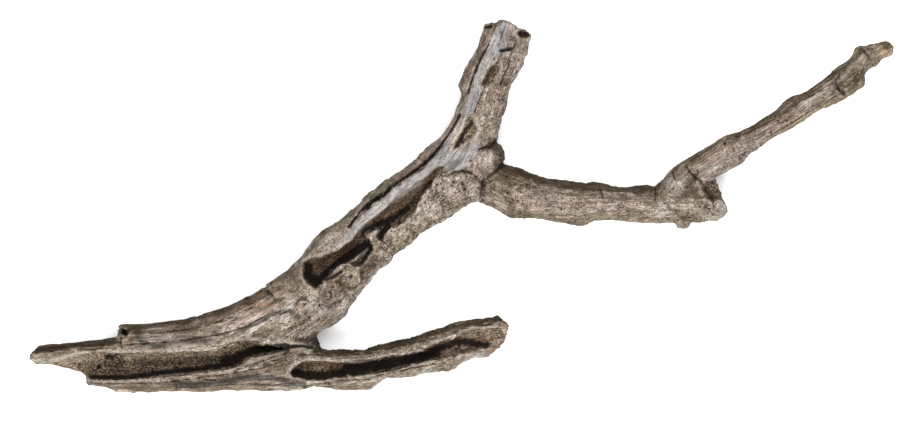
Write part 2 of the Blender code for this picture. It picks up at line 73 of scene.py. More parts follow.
# The grain runs along these lines: plan place, height, half width and half thickness
GRAIN_LINES = {
    "log_and_stem": [
        (10, 355, 40, 12, 14), (60, 353, 38, 16, 20), (119, 344, 33, 21, 31), (180, 340, 33, 22, 33),
        (225, 337, 33, 26, 32), (258, 322, 34, 33, 30), (300, 296, 35, 34, 30), (338, 264, 38, 34, 30),
        (376, 230, 39, 34, 29), (417, 196, 38, 32, 28.5), (449, 166, 36, 31, 28), (470, 141, 33, 29, 27),
        (480, 116, 31, 24, 25), (485, 97, 29, 23.5, 25), (492, 71, 27, 28, 25), (505, 42, 25, 26, 25),
        (514, 10, 24, 25, 24),
    ],
    "lip_and_prong": [
        (10, 372, 40, 8, 14), (60, 374, 38, 10, 18), (119, 377, 33, 15, 30), (180, 378, 33, 15, 31),
        (230, 378, 32, 15, 29), (270, 372, 30, 19, 27), (300, 369, 29, 21, 24), (330, 369, 28, 20, 21),
        (372, 366, 29, 18, 19.5), (404, 358, 29.5, 19, 19), (432, 351, 29.5, 21, 20),
        (465, 341, 30, 20.5, 20), (512, 333, 30, 19.5, 18.5),
    ],
    "limb": [
        (460, 176, 27, 20, 20), (494, 184, 24, 20, 22), (516, 193, 25, 24, 24),
        (534, 197.5, 25.5, 21.5, 22.5), (560, 200.5, 26, 20, 20), (598, 201, 25.5, 18.5, 18.5),
        (650, 204, 22, 18.5, 19), (690, 204, 20, 19, 20.5), (732, 203, 18.5, 17, 18),
    ],
    "twig": [
        (654, 205, 22, 12, 12), (676, 193, 24, 16, 15), (699, 170, 30, 15, 15.5), (713, 161, 33, 15, 14.5),
        (731, 150, 37, 15.5, 15), (762, 131, 45, 10.7, 11), (781, 120, 49, 11.5, 11.5),
        (811, 102, 57, 11.5, 11.5), (835, 88.5, 62, 13.5, 12.5), (852, 75, 66, 15.5, 14.5),
        (864, 63, 69, 12, 11.5), (882, 51, 72.5, 8.5, 8), (894, 48, 73, 6, 6),
    ],
}

# Mouths of the hollows, seen from straight above
HOLLOWS = {
    "trough": [
        (52, 363.5), (62, 360), (80, 355), (92, 352.5), (125, 353), (160, 352), (200, 351), (215, 350),
        (225, 346.5), (236, 342), (250, 340.5), (264, 342), (277, 347), (288, 344.5), (302, 346),
        (288, 348), (276, 350), (266, 354), (250, 355.5), (240, 359), (234, 367), (216, 369.5), (196, 370),
        (176, 372.5), (158, 376), (140, 378.5), (112, 379.5), (90, 377.5), (76, 369.5), (60, 366.5),
    ],
    "cavity": [
        (304, 262), (305.5, 269), (304, 276), (309, 284), (316, 288), (321, 283), (329, 272), (339, 264),
        (350, 261), (360, 252), (370, 245), (370, 239), (363, 236.5), (367, 231), (376, 227.5), (382, 232),
        (386, 233), (390, 228.5), (402, 225), (412, 214), (420, 201), (429, 188), (436, 177), (444, 167),
        (438, 166), (430, 175), (420, 186), (405, 195), (392, 204), (378, 216), (364, 226), (350, 243),
        (338, 250), (322, 256.5), (310, 258.5),
    ],
    "prong": [
        (290, 373.5), (294, 366.5), (302, 362), (320, 360.5), (342, 363), (358, 364.5), (374, 361.5),
        (385, 356.5), (398, 357), (414, 354.5), (430, 345.5), (444, 340.5), (458, 336.5), (466, 331),
        (480, 328.5), (500, 328), (505, 337), (493, 343.5), (478, 349), (464, 346.5), (450, 354),
        (442, 359.5), (410, 362.5), (396, 368.5), (364, 374), (335, 376.5), (318, 379.5), (300, 377.5),
    ],
    "fork_slit": [
        (453.5, 149.5), (456, 140), (460, 132), (465, 123), (470, 116), (474, 119), (477, 131),
        (471, 137.5), (464, 143), (458, 148),
    ],
    "stub_scoop": [(481, 86), (484, 78), (488, 69), (494, 64), (499, 62), (498, 72), (493, 81), (487, 87)],
    "log_end": [(120, 329), (124, 327), (129, 331), (128, 336), (124, 338.5), (120, 336)],
    "stub_end": [(517, 32), (523, 29.5), (530, 33), (528, 38.5), (520, 38)],
    "limb_end": [(700, 183), (709, 180), (716, 182), (720, 192), (715, 202), (706, 199)],
}

# Painted shadow in the hollows, cracks and holes, where the light does not reach: strength, half width and
# plan places
HOLLOW_SHADOWS = [
    (0.95, 1.3, [(349, 228), (360, 212), (370, 203), (380, 197), (390, 189), (400, 181), (410, 174.5),
        (425, 163), (438, 149), (449, 134), (455, 124), (460, 115)]),
    (0.8, 1.1, [(467, 94), (472, 80), (476, 68), (480, 58), (488, 45)]),
    (0.9, 2.6, [(366, 207), (374, 200), (384, 195)]),
    (0.95, 2.7, [(92, 377.5), (120, 377.5), (140, 376), (160, 373), (184, 370.5), (208, 367.5),
        (232, 364)]),
    (1.0, 4.2, [(240, 355), (256, 350), (272, 348), (288, 346.5)]),
    (0.9, 6.5, [(224, 362), (239, 359)]),
    (1.0, 2.6, [(98.5, 366.5)]),
    (1.0, 2.4, [(107, 356.5), (112, 358)]),
    (0.8, 1.2, [(116, 356), (120, 361), (122, 368)]),
    (1.0, 2.0, [(276, 348), (290, 346), (304, 346.5), (312, 347.5)]),
    (0.95, 5.5, [(307, 266), (309, 276), (316, 283)]),
    (1.0, 4.2, [(317, 283), (329, 271), (341, 261), (355, 252), (367, 244)]),
    (1.0, 2.2, [(352, 263), (360, 264), (364, 260), (369, 253), (371, 247)]),
    (1.0, 3.5, [(381, 238), (383, 232), (388, 226)]),
    (0.8, 3.8, [(364, 234), (376, 225), (392, 219), (408, 208)]),
    (0.55, 4.0, [(408, 208), (420, 194), (432, 180)]),
    (1.0, 4.2, [(294, 373), (306, 376), (324, 376), (350, 372), (372, 369), (394, 364), (416, 359.5),
        (436, 354)]),
    (0.8, 3.8, [(345, 368), (380, 362), (416, 357), (440, 348), (458, 341)]),
    (0.8, 3.8, [(456, 343), (468, 341.5), (477, 344), (487, 345)]),
    (1.0, 2.2, [(456, 147), (461, 139), (466, 130), (472, 123)]),
    (0.6, 4.0, [(484, 83), (489, 75), (494, 68)]),
    (1.0, 2.4, [(123.5, 332.5), (127, 333.5)]),
    (1.0, 2.6, [(520, 34), (528, 34.5)]),
    (1.0, 2.0, [(486, 27), (491, 26.5)]),
    (0.5, 3.0, [(705, 187), (712, 194), (714, 199)]),
    (0.9, 1.6, [(322, 280), (332, 277.5), (341, 272)]),
    (0.9, 1.8, [(500, 51), (512, 49)]),
]

# Bare silver wood, seen from straight above
SILVER_WOOD = [
    (336, 246), (350, 229), (361, 216), (371, 206.5), (381, 200), (391, 192), (402, 183.5), (412, 176),
    (421, 170), (429, 163), (437, 154), (444, 145), (451, 136), (458, 124), (463, 113), (467, 101),
    (471, 88), (476, 76), (480, 64), (485, 52), (491, 38), (497, 27), (503, 21), (510, 25), (507, 38),
    (502, 50), (496, 61), (487, 72), (482, 88), (477, 102), (473, 113), (466, 122), (459, 134), (455, 146),
    (461, 150), (468, 147), (476, 141), (481, 148), (476, 159), (469, 167), (458, 171.5), (446, 173),
    (438, 167), (430, 175), (420, 186), (405, 195), (392, 204), (378, 216), (364, 226), (350, 242),
    (341, 250),
]

# Rounded warts, knots and ringed plates of bark: plan place, radius and height
WARTS = [
    (352, 277, 11, 2.4), (330, 293, 13, 2.0), (305, 304, 6, 1.8), (384, 260, 10, 2.0), (368, 268, 8, 1.4),
    (405, 241, 12, 2.0), (420, 224, 9, 1.4), (432, 211, 11, 1.6), (456, 194, 12, 2.0), (437, 184, 7, 1.8),
    (428, 194, 7, 1.4), (474, 189, 10, 1.6), (462, 176, 8, 1.0), (492, 187, 9, 1.4), (519, 196, 13, 1.3),
    (345, 300, 9, 1.2), (318, 310, 10, 1.4), (328, 268, 6, 1.4), (496, 152, 8, 1.6), (380, 233, 4, 1.4),
    (676, 200, 10, 1.4), (756, 133, 7, 1.0), (796, 109, 6, 1.0), (846, 83, 9, 1.8), (861, 60, 6, 1.4),
    (500, 108, 8, 1.4), (512, 66, 8, 1.2), (518, 44, 7, 1.0), (486, 132, 7, 1.2), (466, 86, 6, 1.0),
    (396, 190, 7, 1.4), (372, 202, 7, 1.4), (350, 224, 8, 1.4), (418, 164, 6, 1.2), (448, 370, 5, 1.6),
    (470, 322, 6, 1.2), (415, 341, 6, 1.0), (360, 353, 7, 1.0), (335, 385, 6, 1.0),
]

# Where plates and warts of rough bark are: plan place and radius
ROUGH_BARK = [
    (330, 292, 24), (352, 276, 22), (380, 257, 22), (405, 236, 24), (430, 212, 27), (452, 196, 28),
    (476, 182, 26), (494, 155, 18), (505, 95, 15), (514, 62, 14), (500, 118, 14), (370, 205, 13),
    (395, 186, 12), (346, 228, 14), (420, 160, 10), (306, 304, 10), (468, 78, 10), (520, 200, 20),
    (705, 206, 19), (284, 326, 20), (308, 316, 20),
]

# Cracks: half width, depth and plan places
CRACKS = [
    (1.15, 2.6, [(349, 228), (354, 220), (360, 212), (370, 203), (380, 197), (390, 189), (400, 181),
        (410, 174.5), (416, 170), (425, 163), (432, 156), (438, 149), (443, 141), (449, 134), (455, 124),
        (460, 115)]),
    (1.8, 3.0, [(364, 208), (371, 203), (378, 198)]),
    (1.4, 2.6, [(467, 94), (472, 80), (476, 68), (480, 58), (488, 45)]),
    (1.4, 2.4, [(122, 337), (121.5, 342), (123, 347)]),
    (1.2, 1.6, [(114, 356), (119, 354), (122, 357), (124, 362)]),
    (1.5, 2.4, [(265, 286), (268, 291), (272, 294), (275, 298)]),
    (1.7, 3.0, [(440, 175), (448, 176.5), (455, 173), (462, 171), (470, 172), (477, 176)]),
    (1.5, 2.6, [(326, 279), (333, 276.5), (341, 272), (347, 265)]),
    (1.4, 2.4, [(380, 231), (383, 235), (382, 240), (388, 246)]),
    (1.3, 2.2, [(517, 33), (514, 48), (511, 57), (508, 68), (501, 84)]),
    (1.4, 2.4, [(500, 51), (506, 49.5), (513, 50)]),
    (1.5, 2.4, [(655, 184), (656, 192), (655, 199)]),
    (1.3, 2.0, [(598, 182), (601, 190), (603, 198)]),
    (1.8, 3.0, [(504, 163), (497, 169), (490, 175), (484, 182), (481, 190), (481, 197), (483, 203)]),
    (1.8, 3.0, [(480, 150), (488, 147), (495, 143), (499, 138)]),
    (1.8, 3.0, [(686, 166), (690, 172), (696, 178), (702, 182)]),
    (1.2, 1.8, [(672, 172), (676, 181), (673, 190)]),
    (1.3, 2.2, [(482, 325), (491, 324), (500, 326)]),
    (1.2, 1.8, [(119, 345), (150, 343), (185, 339), (220, 334), (245, 327), (262, 317)]),
    (0.9, 1.2, [(150, 333), (180, 330), (210, 325), (236, 315), (256, 305)]),
    (1.1, 1.6, [(95, 383.5), (125, 384), (160, 383), (200, 378), (235, 373), (262, 368), (284, 360)]),
    (1.0, 1.5, [(180, 389), (215, 386.5), (245, 384), (275, 385), (300, 387)]),
    (1.1, 1.8, [(232, 371.5), (247, 366), (262, 361), (276, 356), (290, 352)]),
    (1.1, 1.6, [(263, 365), (272, 361), (284, 357)]),
    (1.0, 1.5, [(322, 384), (345, 381), (367, 380), (380, 375), (402, 371), (425, 366), (446, 363)]),
    (1.0, 1.4, [(300, 354), (325, 354.5), (350, 355), (372, 353), (392, 347), (415, 343), (440, 336),
        (466, 327)]),
    (1.2, 2.0, [(706, 186), (708, 194), (713, 201), (716, 210)]),
    (1.0, 1.6, [(838, 72), (834, 80), (836, 89), (843, 96)]),
    (1.0, 1.6, [(861, 50), (866, 58), (871, 66)]),
    (0.9, 1.0, [(735, 137), (760, 127), (785, 112), (805, 99), (830, 84)]),
    (0.8, 1.0, [(742, 155), (765, 139), (790, 124), (815, 108), (834, 98)]),
    (0.9, 1.3, [(474, 112), (482, 92), (492, 66), (500, 40), (505, 26)]),
    (0.9, 1.3, [(52, 351), (80, 348.5), (118, 347.5)]),
    (0.8, 1.1, [(40, 348), (70, 345.5), (117, 343)]),
]

# Beetle holes, pits and knots: plan place, radius and depth
HOLES = [
    (98.5, 366.5, 3.0, 3.2), (110.5, 357, 3.2, 2.8), (125.5, 333, 3.0, 5.0), (305, 304, 2.0, 1.6),
    (351, 276, 2.6, 2.6), (777, 121.5, 2.1, 2.2), (786, 121.7, 2.1, 2.2), (770.5, 133.5, 2.0, 2.2),
    (724, 143, 2.2, 2.4), (740, 158, 2.0, 2.2), (463, 183, 2.3, 2.2), (452, 186, 1.9, 1.8),
    (464, 190, 1.9, 1.8), (471, 161, 2.0, 2.0), (485, 185, 2.2, 2.0), (430, 183, 2.4, 2.0),
    (437, 185, 2.2, 1.8), (700, 207, 1.8, 1.8), (331, 292, 2.4, 2.0), (342, 285, 1.8, 1.6),
    (527, 184, 1.8, 1.4), (518, 201, 2.0, 1.6), (552, 204, 1.7, 1.4), (494, 190, 1.7, 1.4),
    (454, 182, 2.6, 2.2), (465, 189, 2.4, 2.0), (467, 176, 2.0, 1.8), (395, 249, 2.4, 2.0),
    (363.5, 272.5, 2.4, 2.0), (408, 236, 1.8, 1.4), (419, 228, 1.8, 1.4), (508, 193, 2.4, 1.8),
    (536, 203, 1.8, 1.4), (561, 210, 1.8, 1.4), (547, 207, 1.6, 1.2), (443, 196, 1.8, 1.4),
    (507, 176, 2.0, 1.6), (620, 207, 1.6, 1.2), (584, 205, 1.6, 1.2), (503, 100, 2.0, 1.6),
]

# Stains and blushes on top of the wood, some of them painted shade, by kind: strength, half width and
# plan places
STAINS = {
    "pale": [
        (1.0, 14, [(446, 191), (468, 183), (484, 166)]),
        (0.6, 7, [(516, 206), (545, 207), (585, 212), (600, 206)]), (0.4, 7, [(655, 203), (700, 206)]),
        (0.75, 5, [(702, 171), (735, 156), (760, 141), (790, 124), (815, 110)]),
        (1.0, 7, [(351, 277), (355, 279)]), (0.9, 3.2, [(331, 270), (341, 265)]),
        (0.5, 6, [(392, 240), (404, 234)]),
    ],
    # Brown stains, and painted shade on upper edges away from the light, in clefts and round lumps
    "umber_and_shade": [
        (0.55, 9, [(322, 294), (338, 290)]), (0.4, 8, [(315, 326), (335, 312)]),
        (0.8, 2.2, [(882, 48), (886, 50)]), (1.0, 8, [(318, 338), (320, 346)]),
        (0.9, 4, [(292, 343), (304, 341), (314, 338), (322, 335)]),
        (0.55, 5, [(100, 386), (150, 386.5), (200, 384), (250, 374), (285, 364)]),
        (0.5, 4, [(252, 383), (290, 386), (330, 384)]), (0.5, 7, [(843, 84), (852, 78)]),
        (0.55, 8, [(258, 337), (278, 332), (300, 328)]),
        (0.75, 1.7, [(343, 271), (341, 279), (346, 287), (355, 288.5), (362, 281), (361, 271)]),
        (0.6, 1.6, [(376, 264), (384, 267), (392, 260), (392, 252)]),
        (0.6, 1.6, [(396, 250), (405, 251), (413, 243), (414, 233)]),
        (0.6, 1.6, [(443, 212), (441, 200), (436, 190)]), (0.5, 8, [(366, 268), (378, 258)]),
        (0.5, 5, [(508, 190), (512, 202), (511, 214)]), (0.5, 4, [(598, 186), (602, 198), (603, 212)]),
        (1.0, 4.2, [(36, 350), (60, 347), (90, 344), (119, 340.5)]),
        (0.85, 6, [(506, 167), (520, 172), (545, 179), (575, 185), (600, 186), (640, 189), (656, 186)]),
        (0.45, 3, [(510, 180), (540, 190), (570, 196), (600, 197), (630, 200)]),
        (0.8, 3.5, [(325, 352), (350, 352), (385, 346), (420, 338), (446, 329), (480, 321), (498, 317)]),
        (0.6, 4, [(690, 159), (713, 146), (745, 134), (779, 112), (812, 91), (845, 66), (858, 52)]),
        (0.35, 3.5, [(300, 261), (320, 239), (345, 217), (365, 199), (385, 183), (402, 172), (430, 147),
            (452, 127)]),
        (0.6, 3, [(122, 328), (150, 326.5), (190, 321), (228, 308), (250, 299)]),
        (0.9, 6, [(703, 185), (711, 190), (715, 198)]), (1.0, 7, [(494, 144), (499, 151), (499, 161)]),
        (0.5, 3, [(836, 76), (834, 86), (842, 94)]), (0.5, 4, [(463, 84), (468, 70), (476, 54), (483, 36)]),
        (0.75, 2.4, [(320, 291), (325, 283), (335, 281), (344, 286), (346, 294), (340, 302), (328, 303)]),
        (0.4, 3.4, [(243, 330), (255, 323), (265, 318), (275, 313), (290, 310), (300, 318)]),
    ],
    # Dark streaks, partly painted shadow in the lip's groove and in the clefts by the fork
    "soot": [
        (0.9, 5, [(298, 341), (312, 342), (322, 340)]), (0.8, 5, [(320, 341), (320, 347)]),
        (0.5, 5, [(322, 318), (338, 300)]), (0.55, 3, [(150, 344), (185, 341), (215, 340)]),
        (0.8, 2.6, [(38, 351), (70, 346), (100, 342.5), (119, 340.5)]),
        (0.55, 3.4, [(243, 330), (255, 323), (265, 318), (275, 313), (290, 310), (300, 318)]),
        (0.95, 4.2, [(178, 385), (210, 382.5), (235, 379.5), (250, 377), (262, 376), (275, 378),
            (290, 382), (304, 384.5)]),
        (0.9, 2.2, [(141, 342.3), (148, 342.6)]), (0.9, 2.4, [(155, 345.2), (166, 345.6)]),
        (0.7, 2.4, [(833, 73), (831, 82), (835, 90), (843, 95)]),
        (0.5, 4, [(228, 347), (240, 338), (262, 338), (275, 342)]),
    ],
    "orange": [
        (0.8, 1.6, [(300, 341), (306, 343)]), (0.8, 2.2, [(254, 305.5), (262, 304), (271, 306)]),
        (1.0, 1.7, [(156, 350), (156.5, 350.5)]), (0.65, 8, [(884, 50)]),
        (0.7, 1.6, [(118.5, 326), (124, 327), (129, 327)]), (0.5, 5, [(500, 344), (492, 352), (486, 356)]),
        (0.5, 3.5, [(390, 208), (410, 196), (424, 184)]),
    ],
    "olive": [
        (0.9, 8, [(846, 84), (856, 74)]), (0.5, 5, [(505, 212), (530, 217), (570, 223), (600, 218)]),
        (0.25, 6, [(406, 168), (430, 158), (446, 140)]), (0.8, 5, [(372, 196), (380, 190), (392, 181)]),
        (0.8, 6, [(343, 225), (350, 214), (358, 206)]), (0.5, 6, [(684, 180), (700, 184), (714, 186)]),
        (0.6, 4, [(185, 330), (200, 327), (215, 323)]),
    ],
    "pink": [
        (0.75, 6, [(338, 238), (352, 221), (368, 204), (384, 192), (402, 177), (420, 164), (440, 140),
            (452, 122)]),
        (0.75, 15, [(215, 322), (240, 316), (262, 309)]), (0.5, 9, [(275, 300), (290, 288), (305, 276)]),
        (0.5, 9, [(130, 330), (170, 327), (205, 322)]), (0.45, 13, [(335, 300), (320, 318)]),
        (0.6, 14, [(450, 190), (470, 182), (480, 168)]),
        (0.55, 13, [(515, 200), (545, 203), (590, 203), (640, 206)]),
        (0.5, 10, [(512, 30), (520, 42), (514, 62), (506, 86), (500, 112)]),
        (0.75, 8, [(712, 158), (740, 146), (775, 128), (800, 114)]), (0.5, 5, [(92, 382), (106, 382)]),
    ],
    "tan": [
        (0.4, 7, [(262, 331), (298, 322)]), (0.6, 6, [(40, 350), (60, 351), (90, 348), (118, 347)]),
        (0.55, 5, [(60, 362), (74, 364), (88, 370)]),
        (0.6, 3.2, [(120, 389), (160, 389), (210, 389), (245, 388)]),
        (0.5, 3.0, [(310, 385), (340, 387), (362, 387)]), (1.0, 12, [(880, 51), (889, 49)]),
        (0.8, 4.5, [(782, 131), (800, 120), (818, 110), (836, 101), (850, 92)]),
        (0.5, 7, [(345, 270), (355, 278), (350, 284)]),
        (0.5, 7, [(510, 210), (526, 212), (545, 214), (585, 219), (620, 216), (650, 217)]),
        (0.5, 9, [(395, 246), (412, 232), (432, 218)]),
    ],
    "rust": [
        (0.75, 6, [(502, 329), (502, 338), (498, 346)]),
        (0.5, 1.1, [(798, 114), (815, 105.5), (832, 100), (839, 96)]),
    ],
}

# Stains inside the hollows, as for the stains on top
ROT_STAINS = {
    "ember": [
        (0.8, 6, [(380, 219), (392, 209), (404, 201), (418, 189), (430, 178)]),
        (0.6, 3, [(325, 368), (342, 369)]), (0.6, 3, [(455, 146), (460, 138)]),
        (0.8, 5, [(312, 268), (326, 260), (342, 254), (356, 244)]), (0.7, 4, [(478, 339), (490, 340)]),
        (0.7, 3.5, [(298, 366), (322, 364), (344, 367)]),
    ],
    "ochre": [
        (0.8, 3.6, [(58, 363), (90, 356), (125, 356), (160, 355), (200, 354), (220, 351)]),
        (0.6, 6, [(66, 364), (84, 366), (96, 362)]),
        (0.45, 3.2, [(310, 261), (326, 257), (342, 250), (358, 237), (372, 224)]),
        (0.5, 2.6, [(466, 132), (472, 126)]), (0.5, 3, [(487, 80), (493, 72)]),
    ],
    "worn": [
        (1.0, 5.5, [(464, 334), (473, 332)]), (0.45, 6, [(482, 336), (497, 333)]),
        (0.7, 4, [(384, 213), (404, 199), (420, 186)]),
    ],
}


def colour_field(name, description, colour):
    """A colour that the panel shows."""
    return FloatVectorProperty(name=name, description=description, subtype="COLOR", size=3, default=colour)


def length_field(name, description, millimetres):
    """A length that the panel shows."""
    size = millimetres * MM
    return FloatProperty(name=name, description=description, default=size, min=0.1 * MM, unit="LENGTH")


def number_field(name, description, default, least=0, kind=FloatProperty, **more):
    """A plain number that the panel shows."""
    return kind(name=name, description=description, default=default, min=least, **more)


class BranchWoodSettings(bpy.types.PropertyGroup):
    """Sizes and colours of the branch's wood."""

    fineness: length_field("Fineness", "Spacing of the finer mesh", 1.15)
    most_triangles: number_field("Most Triangles", "Triangles kept in the wood", 190000, 1000, IntProperty)
    grain_relief: length_field("Grain Relief", "Height of the ridges along the grain", 0.55)
    bark_relief: length_field("Bark Relief", "Height of plates of rough bark", 0.8)
    bark_pale: colour_field("Pale Bark", "Colour of the palest flecks", (0.42, 0.37, 0.315))
    bark_light: colour_field("Light Bark", "Colour of worn bark", (0.225, 0.180, 0.142))
    bark_mid: colour_field("Middle Bark", "Colour of dull bark", (0.102, 0.076, 0.053))
    # Dark bark: the darkest tone of the bark, and the painted shade in pits and cracks
    bark_dark_and_crevice_shade: colour_field("Dark Bark", "Colour in pits and cracks", (0.021, 0.015, 0.010))
    # Far bark: darker damp bark, and painted shade on the sides away from the light
    far_bark_and_shade: colour_field("Far Bark", "Colour of the damp far side", (0.090, 0.060, 0.033))
    silver_light: colour_field("Light Silver Wood", "Colour of bare wood", (0.315, 0.303, 0.293))
    silver_dark: colour_field("Dark Silver Wood", "Colour between the fibres", (0.110, 0.101, 0.093))
    # Rim wood: worn wood on the hollows' rims, and a painted highlight along them
    rim_wood_and_highlight: colour_field("Rim Wood", "Colour of the worn rims", (0.37, 0.32, 0.27))
    rot_light: colour_field("Light Rot", "Colour of grains in the rot", (0.31, 0.24, 0.165))
    rot_mid: colour_field("Middle Rot", "Colour of the rotted walls", (0.090, 0.066, 0.045))
    # Dark rot: the rot's darkest grains, and the painted shadow deep in the hollows
    rot_dark_and_shadow: colour_field("Dark Rot", "Colour deep in the hollows", (0.009, 0.007, 0.006))
    moss: colour_field("Moss", "Colour of dry moss and algae", (0.066, 0.058, 0.032))


class BranchLooseSettings(bpy.types.PropertyGroup):
    """Splinters, bark flakes and crumbs of moss."""

    splinters: number_field("Splinters", "Splinters on each broken end", 9, kind=IntProperty)
    splinter_length: length_field("Splinter Length", "Length of the longest splinters", 6.5)
    flake_spacing: length_field("Flake Spacing", "Distance between bark flakes along a rim", 5.5)
    flake_length: length_field("Flake Length", "Length of the longest bark flakes", 10)
    crumbs: number_field("Crumbs", "Crumbs of moss on the far side", 900, kind=IntProperty)
    crumb_size: length_field("Crumb Size", "Width of the largest crumbs", 1.7)


class BranchStageSettings(bpy.types.PropertyGroup):
    """Floor, lights and camera."""

    lens: number_field("Lens", "Focal length in millimetres", 250.0, 20)
    key_power: number_field("Key Light", "Power of the main light", 135.0, unit="POWER")
    top_power: number_field("Top Light", "Power of the light above", 105.0, unit="POWER")
    sky_strength: number_field("Sky", "Strength of the even light", 0.72)
    floor_size: number_field("Floor Size", "Side of the floor", 12.0, unit="LENGTH")


# Places on the plan

# Millimetres between the places that a grain line is compared at, how far out past its end a limb reaches,
# and how many points of the wood are compared at once
LINE_STEP = 4.0
END_REACH = 12
POINTS_AT_ONCE = 20000


def plan_of(points):
    """World points in metres, as plan places and heights in millimetres."""
    plan = points / MM
    plan[:, 0] += PLAN_CENTRE[0]
    plan[:, 1] = PLAN_CENTRE[1] - plan[:, 1]
    return plan


def world_of(x, y, height):
    """A plan place and a height, as a world point in metres."""
    return Vector((x - PLAN_CENTRE[0], PLAN_CENTRE[1] - y, height)) * MM


def distance_to_path(plan, path):
    """Distance in plan from each point to one place or to a row of straight stretches."""
    corners = np.array(path, float)
    if len(corners) == 1:
        return np.hypot(*(plan[:, :2] - corners[0]).T)
    best = np.full(len(plan), np.inf)
    for start, end in zip(corners, corners[1:]):
        stretch = end - start
        t = np.clip(((plan[:, :2] - start) @ stretch) / (stretch @ stretch), 0, 1)
        gap = plan[:, :2] - start - t[:, None] * stretch
        best = np.minimum(best, np.hypot(gap[:, 0], gap[:, 1]))
    return best


def depth_inside(plan, outline):
    """How far each point is inside a closed outline in plan, negative outside it."""
    closed = outline + outline[:1]
    edge = distance_to_path(plan, closed)
    inside = np.zeros(len(plan), bool)
    for (x0, y0), (x1, y1) in zip(closed, closed[1:]):
        if y0 == y1:
            continue
        crosses = (y0 > plan[:, 1]) != (y1 > plan[:, 1])
        inside ^= crosses & (plan[:, 0] < x0 + (x1 - x0) * (plan[:, 1] - y0) / (y1 - y0))
    return np.where(inside, edge, -edge)


def near_path(plan, path, reach):
    """The points close to a path, so that only they are worked on."""
    corners = np.array(path, float)
    low = corners.min(axis=0) - reach
    high = corners.max(axis=0) + reach
    return np.flatnonzero(((plan[:, :2] > low) & (plan[:, :2] < high)).all(axis=1))


def along_line(plan, rows):
    """Each point's distance along a grain line, offset across it, height over it, and how far out it is."""
    rows = np.array(rows, float)
    steps = np.linalg.norm(np.diff(rows[:, :2], axis=0), axis=1)
    starts = np.concatenate([[0], np.cumsum(steps)])
    fine = np.arange(0, starts[-1], LINE_STEP)
    dense = np.stack([np.interp(fine, starts, column) for column in rows.T], axis=1)
    heading = np.gradient(dense[:, :2], axis=0)
    heading /= np.linalg.norm(heading, axis=1, keepdims=True)
    nearest = np.empty(len(plan), int)
    for start in range(0, len(plan), POINTS_AT_ONCE):
        gap = plan[start:start + POINTS_AT_ONCE, None, :2] - dense[None, :, :2]
        nearest[start:start + POINTS_AT_ONCE] = (gap * gap).sum(axis=2).argmin(axis=1)
    offset = plan[:, :2] - dense[nearest, :2]
    forward = heading[nearest]
    ahead = (offset * forward).sum(axis=1)
    across = offset[:, 0] * forward[:, 1] - offset[:, 1] * forward[:, 0]
    over = plan[:, 2] - dense[nearest, 2]
    beyond = np.where((nearest == 0) | (nearest == len(dense) - 1), np.abs(ahead), 0)
    half_width, half_thickness = dense[nearest, 3], dense[nearest, 4]
    out = np.sqrt((across / half_width) ** 2 + (over / half_thickness) ** 2 + (beyond / END_REACH) ** 2)
    return fine[nearest] + ahead, across, over, out


# Noise on arrays of points

EDGE_GRADIENTS = np.array([
    (1, 1, 0), (-1, 1, 0), (1, -1, 0), (-1, -1, 0), (1, 0, 1), (-1, 0, 1),
    (1, 0, -1), (-1, 0, -1), (0, 1, 1), (0, -1, 1), (0, 1, -1), (0, -1, -1),
], np.float32)
CELL_PRIMES = (73856093, 19349663, 83492791)
SEED_PRIME = 2654435761
MIXING_PRIME = 1274126177
LARGEST_DRAW = 0xFFFF
CORNERS = [(x, y, z) for x in (0, 1) for y in (0, 1) for z in (0, 1)]
NEIGHBOURS = [(x, y, z) for x in (-1, 0, 1) for y in (-1, 0, 1) for z in (-1, 0, 1)]


def scramble(cells, seed):
    """A whole number from 0 to the largest draw for each cell of a lattice."""
    x, y, z = (cells[:, k] * prime for k, prime in enumerate(CELL_PRIMES))
    mixed = x ^ y ^ z ^ seed * SEED_PRIME
    mixed = (mixed ^ (mixed >> 13)) * MIXING_PRIME
    return (mixed ^ (mixed >> 16)) & LARGEST_DRAW


def smooth_noise(points, seed):
    """Gradient noise, from about -1 to 1, one feature to each unit."""
    cells = np.floor(points).astype(np.int64)
    inside = (points - cells).astype(np.float32)
    ease = inside * inside * inside * (inside * (inside * 6 - 15) + 10)
    total = np.zeros(len(points), np.float32)
    for corner in CORNERS:
        gradient = EDGE_GRADIENTS[scramble(cells + corner, seed) % len(EDGE_GRADIENTS)]
        share = np.prod(np.where(corner, ease, 1 - ease), axis=1)
        total += share * ((inside - corner) * gradient).sum(axis=1)
    return total


def wander(plan, seed, *waves):
    """Smooth noise added up over waves, each with a size in millimetres and a strength."""
    return sum(smooth_noise(plan / size, seed + k) * strength for k, (size, strength) in enumerate(waves))


def cell_distances(points, seed):
    """Distances to the nearest and second nearest of scattered centres, one to each unit cell."""
    cells = np.floor(points).astype(np.int64)
    inside = points - cells
    nearest = np.full(len(points), np.inf)
    second = np.full(len(points), np.inf)
    for step in NEIGHBOURS:
        jitter = [scramble(cells + step, seed + k) / LARGEST_DRAW for k in (1, 2, 3)]
        gap = np.stack([step[k] + jitter[k] - inside[:, k] for k in range(3)], axis=1)
        distance = np.sqrt((gap * gap).sum(axis=1))
        second = np.minimum(second, np.maximum(nearest, distance))
        nearest = np.minimum(nearest, distance)
    return nearest, second


def ease_between(values, low, high):
    """0 below low, 1 above high, and smooth between."""
    t = np.clip((values - low) / (high - low), 0, 1)
    return t * t * (3 - 2 * t)


def notch(gap, width):
    """1 where the gap is nought, falling straight to 0 where it is as wide as this."""
    return np.clip(1 - gap / width, 0, 1)


def bell(gap, middle, width):
    """1 where the gap is at the middle, and a bell shape round it."""
    return np.exp(-((gap - middle) / width) ** 2)


# Meshes


